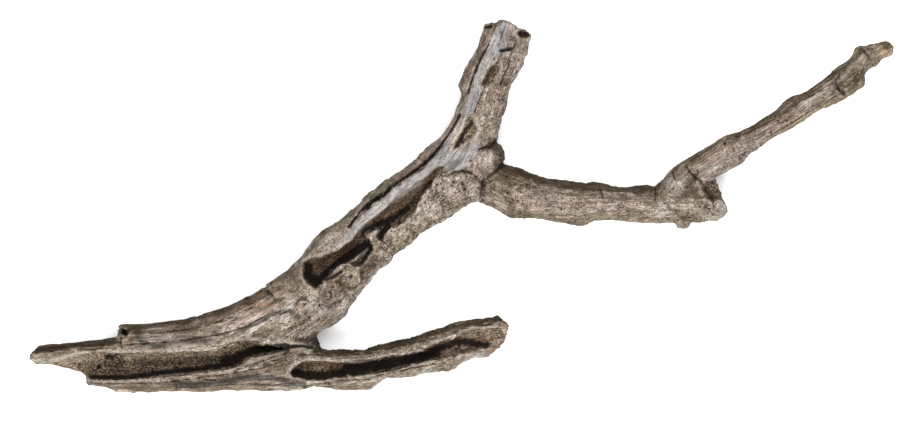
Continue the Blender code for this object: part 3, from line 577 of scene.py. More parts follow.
def read_vectors(mesh, field):
    values = np.empty(len(mesh.vertices) * 3)
    mesh.vertices.foreach_get(field, values)
    return values.reshape(-1, 3)


def store(mesh, name, values):
    """Keeps a number or a vector for each vertex, for the finish to read."""
    kind, field = ("FLOAT", "value") if values.ndim == 1 else ("FLOAT_VECTOR", "vector")
    layer = mesh.attributes.new(name, kind, "POINT")
    layer.data.foreach_set(field, np.ascontiguousarray(values, np.float32).ravel())


def only(obj):
    """Selects one object and nothing else."""
    bpy.ops.object.select_all(action="DESELECT")
    obj.select_set(True)
    bpy.context.view_layer.objects.active = obj


def finish_modifier(obj, kind, **settings):
    """Adds a modifier with these settings and applies it."""
    modifier = obj.modifiers.new(kind.lower(), kind)
    for name, value in settings.items():
        setattr(modifier, name, value)
    only(obj)
    bpy.ops.object.modifier_apply(modifier=modifier.name)


def new_object(name, bm):
    mesh = bpy.data.meshes.new(name)
    bm.to_mesh(mesh)
    bm.free()
    obj = bpy.data.objects.new(name, mesh)
    bpy.context.scene.collection.objects.link(obj)
    return obj


def solid_copy(node, name):
    """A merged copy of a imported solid, with no finish yet."""
    bm = bmesh.new()
    bm.from_mesh(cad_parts[node].data)
    bmesh.ops.remove_doubles(bm, verts=bm.verts, dist=0.01 * MM)
    obj = new_object(name, bm)
    obj.data.materials.clear()
    return obj


def surface_tree(mesh):
    """The mesh's surface, for rays."""
    faces = [polygon.vertices[:] for polygon in mesh.polygons]
    return BVHTree.FromPolygons([vert.co for vert in mesh.vertices], faces)


# The wood

UP, DOWN = Vector((0, 0, 1)), Vector((0, 0, -1))

# The limbs in the order of their grain lines, and how their grain blends where they meet
LOG_AND_STEM, LIP_AND_PRONG, SIDE_LIMB, TWIG = range(len(GRAIN_LINES))
LINE_APART = 1000
BLEND_SHARPNESS = 14
LEAST_SHARE = 0.02

# Places on the plan: x where the splinter ends and where the stem's rough and dry bark start, and the fork
SPLINTER_END = 122
STEM_BARK_START = 300
DRY_STEM_START = 325
FORK_MOSS = (317, 343)

# Least roughness of a limb's bark, from 0 to 1
LIMB_ROUGHNESS = 0.42
TWIG_ROUGHNESS = 0.06
STEM_ROUGHNESS = 0.55

# Millimetres: a ray's start off the surface, the lowest hollow, the top of the low outer sides, and the
# hollows' paler rims, worn wood with a painted highlight
OFF_SURFACE = 0.6
LOWEST_HOLLOW = 4
LOW_SIDE = 11
RIM_REACH = 12
RIM_OUTWARD = 1.8
RIM_WIDTH = 1.7

# Sizes in the relief, in millimetres, apart from how close the rings in a wart lie
PLATE_SIZE = 9.5
KNOB_SIZE = 8.5
KNOB_HEIGHT = 1.9
SPLIT_DEPTH = 1.2
SEAM_DEPTH = 0.7
FOLD_DEPTH = 0.6
CRACK_REACH = 5
HOLE_RIM = 0.35
RING_CLOSENESS = 15


class WoodMap:
    """Where each point of the wood lies: on which limb, and on what kind of surface."""

    def __init__(self, mesh):
        points = read_vectors(mesh, "co")
        self.normals = read_vectors(mesh, "normal")
        self.plan = plan_of(points)
        self.lines, outs = [], []
        for number, rows in enumerate(GRAIN_LINES.values()):
            along, across, over, out = along_line(self.plan, rows)
            self.lines.append(np.stack([along + LINE_APART * number, across, over], axis=1))
            outs.append(out)
        outs = np.array(outs)
        share = np.exp(-BLEND_SHARPNESS * (outs - outs.min(axis=0)))
        self.share = share / share.sum(axis=0)
        self.limb = outs.argmin(axis=0)
        self.top = ease_between(self.normals[:, 2], -0.1, 0.45)
        self.upper = ease_between(self.normals[:, 2], -0.6, 0.0)
        self.inside, self.rim = self.hollows(self.enclosed(mesh, points))
        self.deep = self.painted_hollow_shadows()
        self.silver = self.silver_wood()
        self.rough = self.rough_bark()

    def on_stem(self, start):
        return (self.limb == LOG_AND_STEM) & (self.plan[:, 0] > start)

    def enclosed(self, mesh, points):
        """Whether there is wood both above and below each point, as under the rim of a hollow."""
        tree = surface_tree(mesh)
        found = np.zeros(len(points), bool)
        starts = points + self.normals * OFF_SURFACE * MM
        for k in np.flatnonzero(self.plan[:, 2] > LOWEST_HOLLOW):
            start = Vector(starts[k])
            found[k] = tree.ray_cast(start, UP)[0] is not None and tree.ray_cast(start, DOWN)[0] is not None
        return found

    def hollows(self, enclosed):
        """How surely each point is in a hollow, and how close to a hollow's rim of worn wood and painted
        highlight.
        """
        ragged = wander(self.plan, 51, (6, 0.9), (2.5, 0.5))
        inside = np.zeros(len(self.plan))
        rim = np.zeros(len(self.plan))
        for outline in HOLLOWS.values():
            chosen = near_path(self.plan, outline, RIM_REACH)
            depth = depth_inside(self.plan[chosen], outline) + ragged[chosen]
            inside[chosen] = np.maximum(inside[chosen], ease_between(depth, -1.2, 1.2))
            rim[chosen] = np.maximum(rim[chosen], bell(depth, -RIM_OUTWARD, RIM_WIDTH))
        outer_side = (self.normals[:, 2] < 0.1) & (self.plan[:, 2] < LOW_SIDE)
        inside = np.maximum(inside * ~outer_side, enclosed)
        return inside, rim * self.top * (1 - inside)

    def painted_hollow_shadows(self):
        """How dark the painted shadow is at each point, deep in the hollows."""
        ragged = wander(self.plan, 53, (5, 0.35), (2.2, 0.25))
        deep = np.zeros(len(self.plan))
        for strength, width, path in HOLLOW_SHADOWS:
            chosen = near_path(self.plan, path, width * 2)
            gap = distance_to_path(self.plan[chosen], path) / width + ragged[chosen]
            deep[chosen] = np.maximum(deep[chosen], strength * (1 - ease_between(gap, 0.15, 1.75)))
        return deep * np.maximum(self.inside, self.top)

    def silver_wood(self):
        """How bare and silvery each point is, on the upper part of the stem."""
        chosen = near_path(self.plan, SILVER_WOOD, 4)
        bare = np.zeros(len(self.plan))
        depth = depth_inside(self.plan[chosen], SILVER_WOOD) + wander(self.plan[chosen], 55, (5, 1.2))
        bare[chosen] = ease_between(depth, -1.5, 1.5)
        return bare * ease_between(self.plan[:, 2], 30, 42) * self.top

    def rough_bark(self):
        """How rough the bark is, with a least roughness for each limb."""
        rough = np.zeros(len(self.plan))
        for x, y, radius in ROUGH_BARK:
            gap = distance_to_path(self.plan, [(x, y)]) / radius
            rough = np.maximum(rough, 1 - ease_between(gap, 0.6, 1.2))
        far_prong = 0.25 + 0.5 * ease_between(self.normals[:, 1], 0.2, 0.8)
        rough = np.where(self.limb == LIP_AND_PRONG, np.maximum(rough, far_prong), rough)
        rough = np.where(self.limb == SIDE_LIMB, np.maximum(rough, LIMB_ROUGHNESS), rough)
        rough = np.where(self.limb == TWIG, TWIG_ROUGHNESS, rough)
        rough = np.where(self.on_stem(STEM_BARK_START), np.maximum(rough, STEM_ROUGHNESS), rough)
        return rough * (1 - self.silver) * (1 - self.inside)

    def far_side_shade(self):
        """Painted shade on the far sides, away from the light, with their darker damp bark: strong on the
        prong, the limb and the log, weak on the stem.
        """
        stem = (self.limb == LOG_AND_STEM) * ease_between(self.plan[:, 0], 270, 320)
        start = np.where(self.limb == SIDE_LIMB, -0.35, 0.05)
        return ease_between(self.normals[:, 1], start, 0.95) * (1 - 0.7 * stem)

    def grain_noise(self, along, across, seed, fold=False):
        """Noise drawn out along the grain, blended where limbs meet, and folded at nought if asked."""
        total = np.zeros(len(self.plan))
        for share, line in zip(self.share, self.lines):
            chosen = np.flatnonzero(share > LEAST_SHARE)
            noise = smooth_noise(line[chosen] / (along, across, across), seed)
            total[chosen] += share[chosen] * (np.abs(noise) if fold else noise)
        return total

    def grain(self):
        """Grain coordinates of each point, blended where limbs meet."""
        return sum(share[:, None] * line for share, line in zip(self.share, self.lines))


def wart_relief(plan):
    """Domes with rings round them, in millimetres, and how dark the painted shade in the ring round each is.
    """
    relief = np.zeros(len(plan))
    ring_shade = np.zeros(len(plan))
    for x, y, radius, height in WARTS:
        chosen = near_path(plan, [(x, y)], radius * 1.6)
        gap = distance_to_path(plan[chosen], [(x, y)]) / radius + wander(plan[chosen], 61, (5, 0.22))
        dome = 1 - ease_between(gap, 0.25, 1.15)
        rings = 0.18 * np.cos(gap * RING_CLOSENESS) * np.clip(1.2 - gap, 0, 1)
        moat = 0.3 * bell(gap, 1.12, 0.16)
        relief[chosen] += height * (dome + rings - moat)
        broken = ease_between(smooth_noise(plan[chosen] / 7, 62), -0.35, 0.25)
        ring_shade[chosen] = np.maximum(ring_shade[chosen], 0.7 * broken * bell(gap, 1.05, 0.17))
    return relief, ring_shade


def bark_and_grain(wood_map, grain_relief, bark_relief):
    """How far each point stands out, in millimetres, and how much painted shade its crevices get, from 0 to
    1.
    """
    plan, rough, inside = wood_map.plan, wood_map.rough, wood_map.inside
    smooth_wood = 1 - rough

    fibres = 1.1 * wood_map.grain_noise(30, 2.2, 1) + 1.9 * wood_map.grain_noise(52, 5.5, 2)
    relief = grain_relief * fibres * (0.4 + 0.6 * smooth_wood) * (1 - 0.7 * inside)
    splits = notch(wood_map.grain_noise(75, 7, 3, fold=True), 0.05)
    splits = splits * (0.25 + 0.75 * smooth_wood) * (1 - 0.8 * inside)
    relief -= SPLIT_DEPTH * splits

    nearest, second = cell_distances(plan / PLATE_SIZE, 6)
    relief += bark_relief * rough * (0.55 - nearest)
    seams = notch(second - nearest, 0.10) * rough
    relief -= SEAM_DEPTH * seams
    relief += rough * (0.3 * wood_map.grain_noise(3.2, 10, 4) + 0.35 * wood_map.grain_noise(7, 24, 5))

    warts, ring_shade = wart_relief(plan)
    relief += warts * (1 - inside) * (0.4 + 0.6 * wood_map.top)
    knobs = np.abs(smooth_noise(plan / KNOB_SIZE, 15))
    folds = notch(knobs, 0.07) * rough * ease_between(smooth_noise(plan / 13, 16), -0.15, 0.3)
    relief += KNOB_HEIGHT * (knobs - 0.2) * rough - FOLD_DEPTH * folds

    relief += wander(plan, 12, (5.5, 0.45)) * (0.4 + 0.6 * rough)
    relief += wander(plan, 13, (2.4, 0.3)) * (0.4 + 0.6 * np.maximum(rough, inside))
    relief += wander(plan, 14, (4.2, 0.7)) * inside

    # Painted shade in splits, seams, folds, the rings round warts and the low places of the relief
    crevice_shade = np.maximum.reduce([0.7 * splits, 0.45 * seams, 0.65 * folds, ring_shade])
    crevice_shade = np.maximum(crevice_shade, np.clip(-relief / 2.2, 0, 0.55))
    return relief, crevice_shade * (1 - 0.4 * wood_map.silver) * (1 - 0.6 * inside)


def cut_marks(wood_map, relief, crevice_shade):
    """Cuts the cracks and the holes into the relief, and paints shade into them."""
    plan, seen = wood_map.plan, np.maximum(wood_map.top, wood_map.inside)
    for width, depth, path in CRACKS:
        chosen = near_path(plan, path, CRACK_REACH)
        gap = distance_to_path(plan[chosen], path) + wander(plan[chosen], 21, (6, 1.1), (2.6, 0.5))
        groove = notch(np.abs(gap), width) * seen[chosen]
        relief[chosen] -= depth * groove
        crevice_shade[chosen] = np.maximum(crevice_shade[chosen], groove ** 0.6)
    for x, y, radius, depth in HOLES:
        chosen = near_path(plan, [(x, y)], radius * 2.2)
        gap = distance_to_path(plan[chosen], [(x, y)]) / radius + wander(plan[chosen], 23, (2.2, 0.4))
        bowl = (1 - ease_between(gap, 0.3, 1.05)) * seen[chosen]
        rim = bell(gap, 1.35, 0.3) * HOLE_RIM * seen[chosen]
        relief[chosen] += rim - depth * bowl
        crevice_shade[chosen] = np.maximum(crevice_shade[chosen], bowl)


def stain_weights(wood_map, stains):
    """How strong each kind of stain, painted shade among them, is at each point."""
    plan = wood_map.plan
    seen = np.maximum(wood_map.upper, wood_map.inside)
    ragged = wander(plan, 31, (7, 0.4), (2.8, 0.25))
    weights = {}
    for kind, rows in stains.items():
        mask = weights[kind] = np.zeros(len(plan))
        for strength, width, path in rows:
            chosen = near_path(plan, path, width * 1.8)
            gap = distance_to_path(plan[chosen], path) / width + ragged[chosen]
            stain = strength * (1 - ease_between(gap, 0.4, 1.3)) * seen[chosen]
            mask[chosen] = np.maximum(mask[chosen], stain)
    return weights


def moss_weight(wood_map):
    """Moss and algae grow in patches on the far sides and in the fork."""
    plan = wood_map.plan
    away = ease_between(wood_map.normals[:, 1], 0.2, 0.85)
    patches = wander(plan, 41, (16, 1), (5, 0.4))
    fork = 1 - ease_between(distance_to_path(plan, [FORK_MOSS]), 6, 13)
    splinter = (wood_map.limb == LOG_AND_STEM) & (plan[:, 0] < SPLINTER_END)
    dry = (wood_map.limb >= SIDE_LIMB) | splinter | wood_map.on_stem(DRY_STEM_START)
    away *= np.where(dry, 0.35, 1.0)
    return np.maximum(away * ease_between(patches, -0.2, 0.4), 0.35 * fork) * (1 - 0.6 * wood_map.silver)


# Finishes

# How light bark and rot usually are, the tint of the cooler bark, and the shine and fine relief of dry wood
BARK_LIGHTNESS = 0.2
ROT_LIGHTNESS = 0.085
COOLER = (0.94, 1.02, 1.10)
DRY_SHINE = 0.05
BUMP_DEPTH = 1.3 * MM


class Wire:
    """A value inside a finish, so that sums on values read as sums."""

    def __init__(self, finish, socket):
        self.finish = finish
        self.socket = socket

    def sum(self, operation, left, right):
        node = self.finish.node("ShaderNodeMath", {"operation": operation}, {0: left, 1: right})
        return Wire(self.finish, node.outputs[0])

    def __add__(self, other):
        return self.sum("ADD", self, other)

    def __radd__(self, other):
        return self.sum("ADD", other, self)

    def __sub__(self, other):
        return self.sum("SUBTRACT", self, other)

    def __rsub__(self, other):
        return self.sum("SUBTRACT", other, self)

    def __mul__(self, other):
        return self.sum("MULTIPLY", self, other)

    def greatest(self, other):
        return self.sum("MAXIMUM", self, other)

    def size(self):
        return self.sum("ABSOLUTE", self, 0.0)


class Finish:
    """Builds one material from nodes."""

    def __init__(self, name):
        self.material = bpy.data.materials.new(name)
        self.material.use_nodes = True
        self.tree = self.material.node_tree
        self.shader = self.tree.nodes["Principled BSDF"]

    def node(self, kind, settings=None, inputs=None):
        made = self.tree.nodes.new(kind)
        for name, value in (settings or {}).items():
            setattr(made, name, value)
        for key, value in (inputs or {}).items():
            self.put(made.inputs[key], value)
        return made

    def put(self, socket, value):
        if isinstance(value, Wire):
            self.tree.links.new(value.socket, socket)
        elif isinstance(value, bpy.types.NodeSocket):
            self.tree.links.new(value, socket)
        elif hasattr(socket.default_value, "__len__") and len(socket.default_value) == 4 and len(value) == 3:
            socket.default_value = (*value, 1.0)
        else:
            socket.default_value = value

    def kept(self, name):
        """What is stored for each vertex under a name."""
        settings = {"attribute_type": "GEOMETRY", "attribute_name": name}
        return self.node("ShaderNodeAttribute", settings).outputs

    def numbers(self, *names):
        return [Wire(self, self.kept(name)["Fac"]) for name in names]

    def vector_sum(self, operation, left, right):
        return self.node("ShaderNodeVectorMath", {"operation": operation}, {0: left, 1: right}).outputs[0]

    def noise(self, vector, scale, detail, roughness, distortion=0.0):
        """Noise from about -0.5 to 0.5."""
        inputs = {"Vector": vector, "Scale": scale, "Detail": detail, "Roughness": roughness}
        node = self.node("ShaderNodeTexNoise", {}, {**inputs, "Distortion": distortion})
        return Wire(self, node.outputs["Fac"]) - 0.5

    def cells(self, vector, scale, feature="F1"):
        node = self.node("ShaderNodeTexVoronoi", {"feature": feature}, {"Vector": vector, "Scale": scale})
        return Wire(self, node.outputs["Distance"])

    def between(self, value, low, high):
        """0 at low, 1 at high, and smooth between. Low may be the larger."""
        inputs = {"Value": value, "From Min": low, "From Max": high}
        node = self.node("ShaderNodeMapRange", {"interpolation_type": "SMOOTHSTEP"}, inputs)
        return Wire(self, node.outputs["Result"])

    def mixed(self, first, second, share):
        inputs = {"Factor": share, 6: first, 7: second}
        return self.node("ShaderNodeMix", {"data_type": "RGBA"}, inputs).outputs[2]

    def ramp(self, tone, dark, middle, light, pale):
        """Four colours laid along a tone from 0 to 1."""
        low = self.mixed(dark, middle, self.between(tone, -0.1, 0.32))
        high = self.mixed(light, pale, self.between(tone, 0.70, 1.1))
        return self.mixed(low, high, self.between(tone, 0.25, 0.75))

    def tinted(self, colour, tint, share, usual=BARK_LIGHTNESS):
        """A tint that keeps a share of the light and dark of what is under it, which is usually so light."""
        light = Wire(self, self.node("ShaderNodeRGBToBW", {}, {0: colour}).outputs[0]) * (1 / usual)
        lit = self.node("ShaderNodeVectorMath", {"operation": "SCALE"}, {0: tint, "Scale": light}).outputs[0]
        return self.mixed(lit, tint, 1 - share)

    def warped(self, vector, scale, distance):
        """A place pushed about by noise, so that cells lose their straight sides."""
        inputs = {"Vector": vector, "Scale": scale, "Detail": 3.0}
        push = self.node("ShaderNodeTexNoise", {}, inputs).outputs["Color"]
        return self.vector_sum("ADD", vector, self.vector_sum("MULTIPLY", push, (distance,) * 3))

    def bumped(self, height, distance):
        return self.node("ShaderNodeBump", {}, {"Height": height, "Distance": distance}).outputs["Normal"]

    def surface(self, **sockets):
        for name, value in sockets.items():
            self.put(self.shader.inputs[name.replace("_", " ")], value)


# Each stain's colour and strength, how much of the light and dark under it shows, and how grainy its edge is
STAIN_KINDS = {
    "pale": ((0.335, 0.295, 0.26), 0.6, 0.75, 0.9),
    "pink": ((0.268, 0.195, 0.166), 0.6, 0.75, 0.9),
    "orange": ((0.30, 0.16, 0.10), 0.8, 0.75, 0.9),
    "tan": ((0.250, 0.198, 0.130), 0.75, 0.75, 0.9),
    # Brown stain, partly painted shade along far edges and in clefts
    "umber_and_shade": ((0.068, 0.045, 0.027), 0.85, 0.6, 0.9),
    # Near black: dark streaks, partly painted shadow in grooves and clefts
    "soot": ((0.040, 0.036, 0.035), 0.8, 0.6, 2.2),
    "olive": ((0.095, 0.083, 0.049), 0.7, 0.75, 0.9),
    "rust": ((0.18, 0.085, 0.058), 0.75, 0.75, 0.9),
}
ROT_STAIN_KINDS = {
    "ember": ((0.115, 0.069, 0.041), 0.75, 0.6, 0.9),
    "ochre": ((0.152, 0.118, 0.085), 0.7, 0.75, 0.9),
    "worn": ((0.140, 0.108, 0.078), 0.9, 0.3, 0.9),
}


class WoodPatterns:
    """The textures that the parts of the wood finish share."""

    def __init__(self, paint):
        grain = paint.kept("grain")["Vector"]
        place = paint.node("ShaderNodeTexCoord").outputs["Object"]

        def along(forward, across, detail, roughness, distortion):
            stretched = paint.vector_sum("MULTIPLY", grain, (forward, across, across))
            return paint.noise(stretched, 1.0, detail, roughness, distortion)

        self.fibres = along(0.035, 0.8, 7.0, 0.72, 0.5)
        self.threads = along(0.022, 0.36, 6.0, 0.6, 0.8)
        self.streaks = along(0.012, 0.13, 4.0, 0.6, 0.6)
        self.dashes = along(0.20, 0.85, 4.0, 0.6, 0.6)
        self.mottle = paint.noise(place, 62.0, 6.0, 0.68)
        self.patches = paint.noise(place, 24.0, 4.0, 0.55)
        self.clots = paint.noise(place, 135.0, 3.0, 0.6, 0.4)
        self.grit = paint.noise(place, 760.0, 3.0, 0.75)
        self.flecks = paint.noise(place, 400.0, 5.0, 0.7)
        self.specks = paint.cells(place, 290.0)
        self.pits = paint.cells(place, 210.0)
        self.net = paint.cells(paint.warped(place, 90.0, 0.012), 120.0, "DISTANCE_TO_EDGE")


def bark_and_silver(paint, settings, pattern, rough, silver):
    """The wood's own colour, before dirt and stains."""
    fibres, grit, mottle, patches = pattern.fibres, pattern.grit, pattern.mottle, pattern.patches
    fine = fibres * (2.5 - rough * 0.8) + grit * (1.5 + rough * 1.5) + pattern.clots * (0.3 + rough * 0.7)
    broad = mottle * 1.3 + patches * 1.2 + pattern.streaks * 1.1
    tone = 0.62 + fine + broad
    bark = paint.ramp(tone, settings.bark_dark_and_crevice_shade, settings.bark_mid, settings.bark_light, settings.bark_pale)
    cool = paint.between(patches + mottle * 0.5, -0.02, 0.10) * 0.6
    bark = paint.mixed(bark, paint.vector_sum("MULTIPLY", bark, COOLER), cool)
    silver_tone = 0.5 + fibres * 2.0 + grit * 1.3 + mottle * 1.2
    bare = paint.mixed(settings.silver_dark, settings.silver_light, paint.between(silver_tone, 0.05, 0.75))
    return paint.mixed(bark, bare, paint.between(silver + fibres * 0.7 + mottle * 0.5, 0.3, 0.7))


def stained(paint, pattern, colour, stains, usual):
    """Lays stains, painted shade among them, over a colour, each tinted against how light that colour
    usually is.
    """
    for kind, (stain, strength, shade, grainy) in stains.items():
        weight, = paint.numbers(kind)
        ragged = weight + pattern.threads * 1.3 + pattern.grit * grainy + pattern.mottle * 0.7
        share = paint.between(ragged, 0.2, 0.8) * paint.between(weight, 0.0, 0.2) * strength
        colour = paint.mixed(colour, paint.tinted(colour, stain, shade, usual), share)
    return colour


def darkened(paint, settings, pattern, colour, rough, silver, far):
    """Lays cracks, creases, pits and pale flecks over a colour, and says where the dark ones are."""
    grit, mottle = pattern.grit, pattern.mottle
    cracks = paint.between(pattern.threads.size(), 0.020, 0.0) * (0.9 - rough * 0.6)
    creases = paint.between(pattern.net + grit * 0.08, 0.035, 0.0) * rough * 0.55
    dashes = paint.between(pattern.dashes, 0.08, 0.17) * (0.5 + rough * 0.4)
    specks = paint.between(pattern.specks + grit * 0.9, 0.30, 0.12) * (0.7 + rough * 0.3)
    pits = paint.between(pattern.pits + mottle * 1.4, 0.26, 0.10) * (0.15 + rough * 0.8)
    dark = cracks.greatest(creases).greatest(dashes).greatest(specks).greatest(pits) * (1 - silver * 0.2)
    colour = paint.mixed(colour, settings.bark_dark_and_crevice_shade, dark * 0.85)
    fleck = paint.between(pattern.flecks, 0.08, 0.20) * (0.42 + rough * 0.18) * (1 - far * 0.6)
    return paint.mixed(colour, settings.bark_pale, fleck), dark


def rotten(paint, settings, pattern):
    """The colour of the hollows' rotted walls."""
    tone = 0.55 + pattern.grit * 5.6 + pattern.flecks * 4.0 + pattern.mottle * 2.0
    rot = paint.ramp(tone, settings.rot_dark_and_shadow, settings.rot_mid, settings.rot_mid, settings.rot_light)
    rot = paint.mixed(rot, settings.rot_dark_and_shadow, paint.between(pattern.specks, 0.30, 0.16) * 0.6)
    return stained(paint, pattern, rot, ROT_STAIN_KINDS, ROT_LIGHTNESS)


def wood_finish(settings):
    """Bark, bare wood, rot, stains and moss in one finish that follows the grain."""
    paint = Finish("weathered_wood")
    pattern = WoodPatterns(paint)
    fibres, mottle, grit = pattern.fibres, pattern.mottle, pattern.grit
    rough, silver, inside, crevice_shade = paint.numbers("rough", "silver", "inside", "crevice_shade")
    moss, rim, deep, far = paint.numbers("moss", "rim", "deep", "far")

    colour = bark_and_silver(paint, settings, pattern, rough, silver)
    colour = stained(paint, pattern, colour, STAIN_KINDS, BARK_LIGHTNESS)
    # Paler rims of the hollows: worn wood and a painted highlight
    colour = paint.mixed(colour, settings.rim_wood_and_highlight, rim * paint.between(grit + fibres, -0.3, 0.05) * 0.9)

    # Painted shade on the far sides, away from the light, streaked along the grain with the damp far bark
    streaky = fibres * 1.8 + pattern.threads * 1.8 + pattern.streaks * 1.6
    shade = paint.between(far * 0.8 + streaky * 1.25, 0.1, 1.05) * 0.88
    colour = paint.mixed(colour, paint.tinted(colour, settings.far_bark_and_shade, 0.85), shade)
    green = paint.between(moss + mottle * 1.2 + grit * 1.1, 0.35, 0.85) * 0.8
    colour = paint.mixed(colour, paint.tinted(colour, settings.moss, 0.75), green)
    colour, dark = darkened(paint, settings, pattern, colour, rough, silver, far)

    hollow = paint.between(inside + grit * 0.6, 0.3, 0.7)
    colour = paint.mixed(colour, rotten(paint, settings, pattern), hollow)
    # Painted shadow deep in the hollows, where the light does not reach
    hollow_shadow_share = paint.between(deep + grit * 0.9 + mottle * 0.6, 0.2, 0.8) * 0.95
    colour = paint.mixed(colour, settings.rot_dark_and_shadow, hollow_shadow_share)
    # Painted shade in the pits, cracks and crevices
    crevice_shade_share = paint.between(crevice_shade + grit * 0.4, 0.25, 0.9) * 0.85
    colour = paint.mixed(colour, settings.bark_dark_and_crevice_shade, crevice_shade_share)

    height = (fibres + 0.5) * (0.8 - rough * 0.4) + grit * 0.45 + mottle * 0.5 - dark * 0.6
    paint.surface(Base_Color=colour, Roughness=0.86 - silver * 0.12, Normal=paint.bumped(height, BUMP_DEPTH))
    paint.shader.inputs["Specular IOR Level"].default_value = DRY_SHINE
    return paint.material


def floor_finish():
    paint = Finish("floor_white")
    paint.surface(Base_Color=(0.93, 0.93, 0.93), Roughness=0.95)
    return paint.material


# The pieces

# The heights in millimetres between which the relief sets in, so that the branch still rests flat
SETTLED = (0.5, 4.0)

# Small pieces, in millimetres: how wide splinters are, how far outside the ends and how high over the branch
# the rays start, and how thick flakes are and how far they stray from a rim
SPLINTER_WIDTHS = (1.2, 2.8)
FROM_OUTSIDE = 30
OVER_BRANCH = 150
FLAKE_THICKNESS = 0.45
FLAKE_SCATTER = 1.2

# A flake lies only where the surface faces up this much, and a crumb only where there is this much moss
STEEPEST_FLAKE = 0.35
LEAST_MOSS = 0.25


def hand_over(obj, material):
    """Gives a finished piece its finish, its smooth shading and its place in the frame."""
    only(obj)
    bpy.ops.object.shade_smooth()
    obj.data.materials.append(material)
    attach(obj, "root")


def dress_wood(settings):
    """The wood itself, finer than the solid and with all its relief."""
    wood = solid_copy("branch", "weathered_branch")
    spacing = settings.fineness * 1.0
    finish_modifier(wood, "REMESH", mode="VOXEL", voxel_size=spacing)
    finish_modifier(wood, "SMOOTH", factor=0.5, iterations=8)
    mesh = wood.data
    wood_map = WoodMap(mesh)
    relief, crevice_shade = bark_and_grain(wood_map, settings.grain_relief / MM, settings.bark_relief / MM)
    cut_marks(wood_map, relief, crevice_shade)
    store(mesh, "grain", wood_map.grain())
    for name in ("rough", "silver", "inside", "rim", "deep"):
        store(mesh, name, getattr(wood_map, name))
    others = {"crevice_shade": crevice_shade, "moss": moss_weight(wood_map), "far": wood_map.far_side_shade()}
    for name, weight in (others | stain_weights(wood_map, STAINS | ROT_STAINS)).items():
        store(mesh, name, weight)

    settled = ease_between(wood_map.plan[:, 2], *SETTLED)
    points = read_vectors(mesh, "co") + wood_map.normals * (relief * settled)[:, None] * MM
    points[:, 2] = np.maximum(points[:, 2], 0)
    mesh.vertices.foreach_set("co", points.ravel())
    mesh.update()
    mesh.calc_loop_triangles()
    share = settings.most_triangles / len(mesh.loop_triangles)
    if share < 1:
        finish_modifier(wood, "DECIMATE", ratio=share, use_collapse_triangulate=True)
    hand_over(wood, wood_finish(settings))
    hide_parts("branch")


def take_after(obj, wood):
    """Copies what the finish reads from the nearest points of the wood, so that a small piece matches it."""
    tree = KDTree(len(wood.data.vertices))
    for vert in wood.data.vertices:
        tree.insert(vert.co, vert.index)
    tree.balance()
    nearest = np.array([tree.find(vert.co)[1] for vert in obj.data.vertices], int)
    for layer in wood.data.attributes:
        if layer.domain != "POINT" or layer.name in obj.data.attributes or layer.name.startswith("."):
            continue
        is_vector = layer.data_type == "FLOAT_VECTOR"
        values = np.empty(len(wood.data.vertices) * (3 if is_vector else 1))
        layer.data.foreach_get("vector" if is_vector else "value", values)
        store(obj.data, layer.name, (values.reshape(-1, 3) if is_vector else values)[nearest])


def add_rings(bm, rings, frame_matrix):
    """A closed body through rings of points, given in its own frame."""
    rows = [[bm.verts.new(frame_matrix @ Vector(point)) for point in ring] for ring in rings]
    count = len(rows[0])
    for one, two in zip(rows, rows[1:]):
        for k in range(count):
            bm.faces.new((one[k], one[(k + 1) % count], two[(k + 1) % count], two[k]))
    bm.faces.new(list(reversed(rows[0])))
    bm.faces.new(rows[-1])


# Broken ends: two plan places across the end, its lowest and highest, the way out of the wood in degrees
# from +X towards +Y, and the share of the full length that its splinters reach
BROKEN_ENDS = {
    "splinter_tip": ((32, 352), (36, 363), 34, 48, 180, 0.3),
    "lip_end": ((88, 378), (91, 385), 12, 56, 180, 0.6),
    "log_end": ((119, 326), (119, 337), 18, 56, 178, 0.5),
    "prong_end": ((500, 320), (506, 338), 14, 44, 12, 0.35),
    "prong_corner": ((503, 340), (492, 354), 14, 42, -20, 0.4),
    "stub_end": ((486, 26), (528, 33), 6, 47, 75, 0.3),
    "limb_end": ((716, 184), (726, 214), 6, 34, -5, 0.35),
    "slot_flap": ((272, 344), (312, 336), 52, 62, 240, 0.4),
}


# Stations along a splinter: share of its length, of its width and of its thickness
SPLINTER_STATIONS = [(-0.5, 1.0, 0.7), (0.35, 0.75, 0.5), (0.75, 0.4, 0.3), (1.0, 0.1, 0.1)]


def add_splinter(bm, root, heading, length, width, chance):
    """A thin spike that is broad where it leaves the wood."""
    turn = heading.to_track_quat("X", "Z").to_matrix().to_4x4()
    place = Matrix.Translation(root) @ turn @ Matrix.Rotation(chance.uniform(-0.9, 0.9), 4, "X")
    rings = []
    for at, wide, thick in SPLINTER_STATIONS:
        sway = chance.uniform(-0.15, 0.15) * width
        rings.append([
            (at * length, sway + side * wide * width / 2, lift * thick * width / 2)
            for side, lift in ((-1, -1), (1, -1), (1, 1), (-1, 1))
        ])
    add_rings(bm, rings, place)


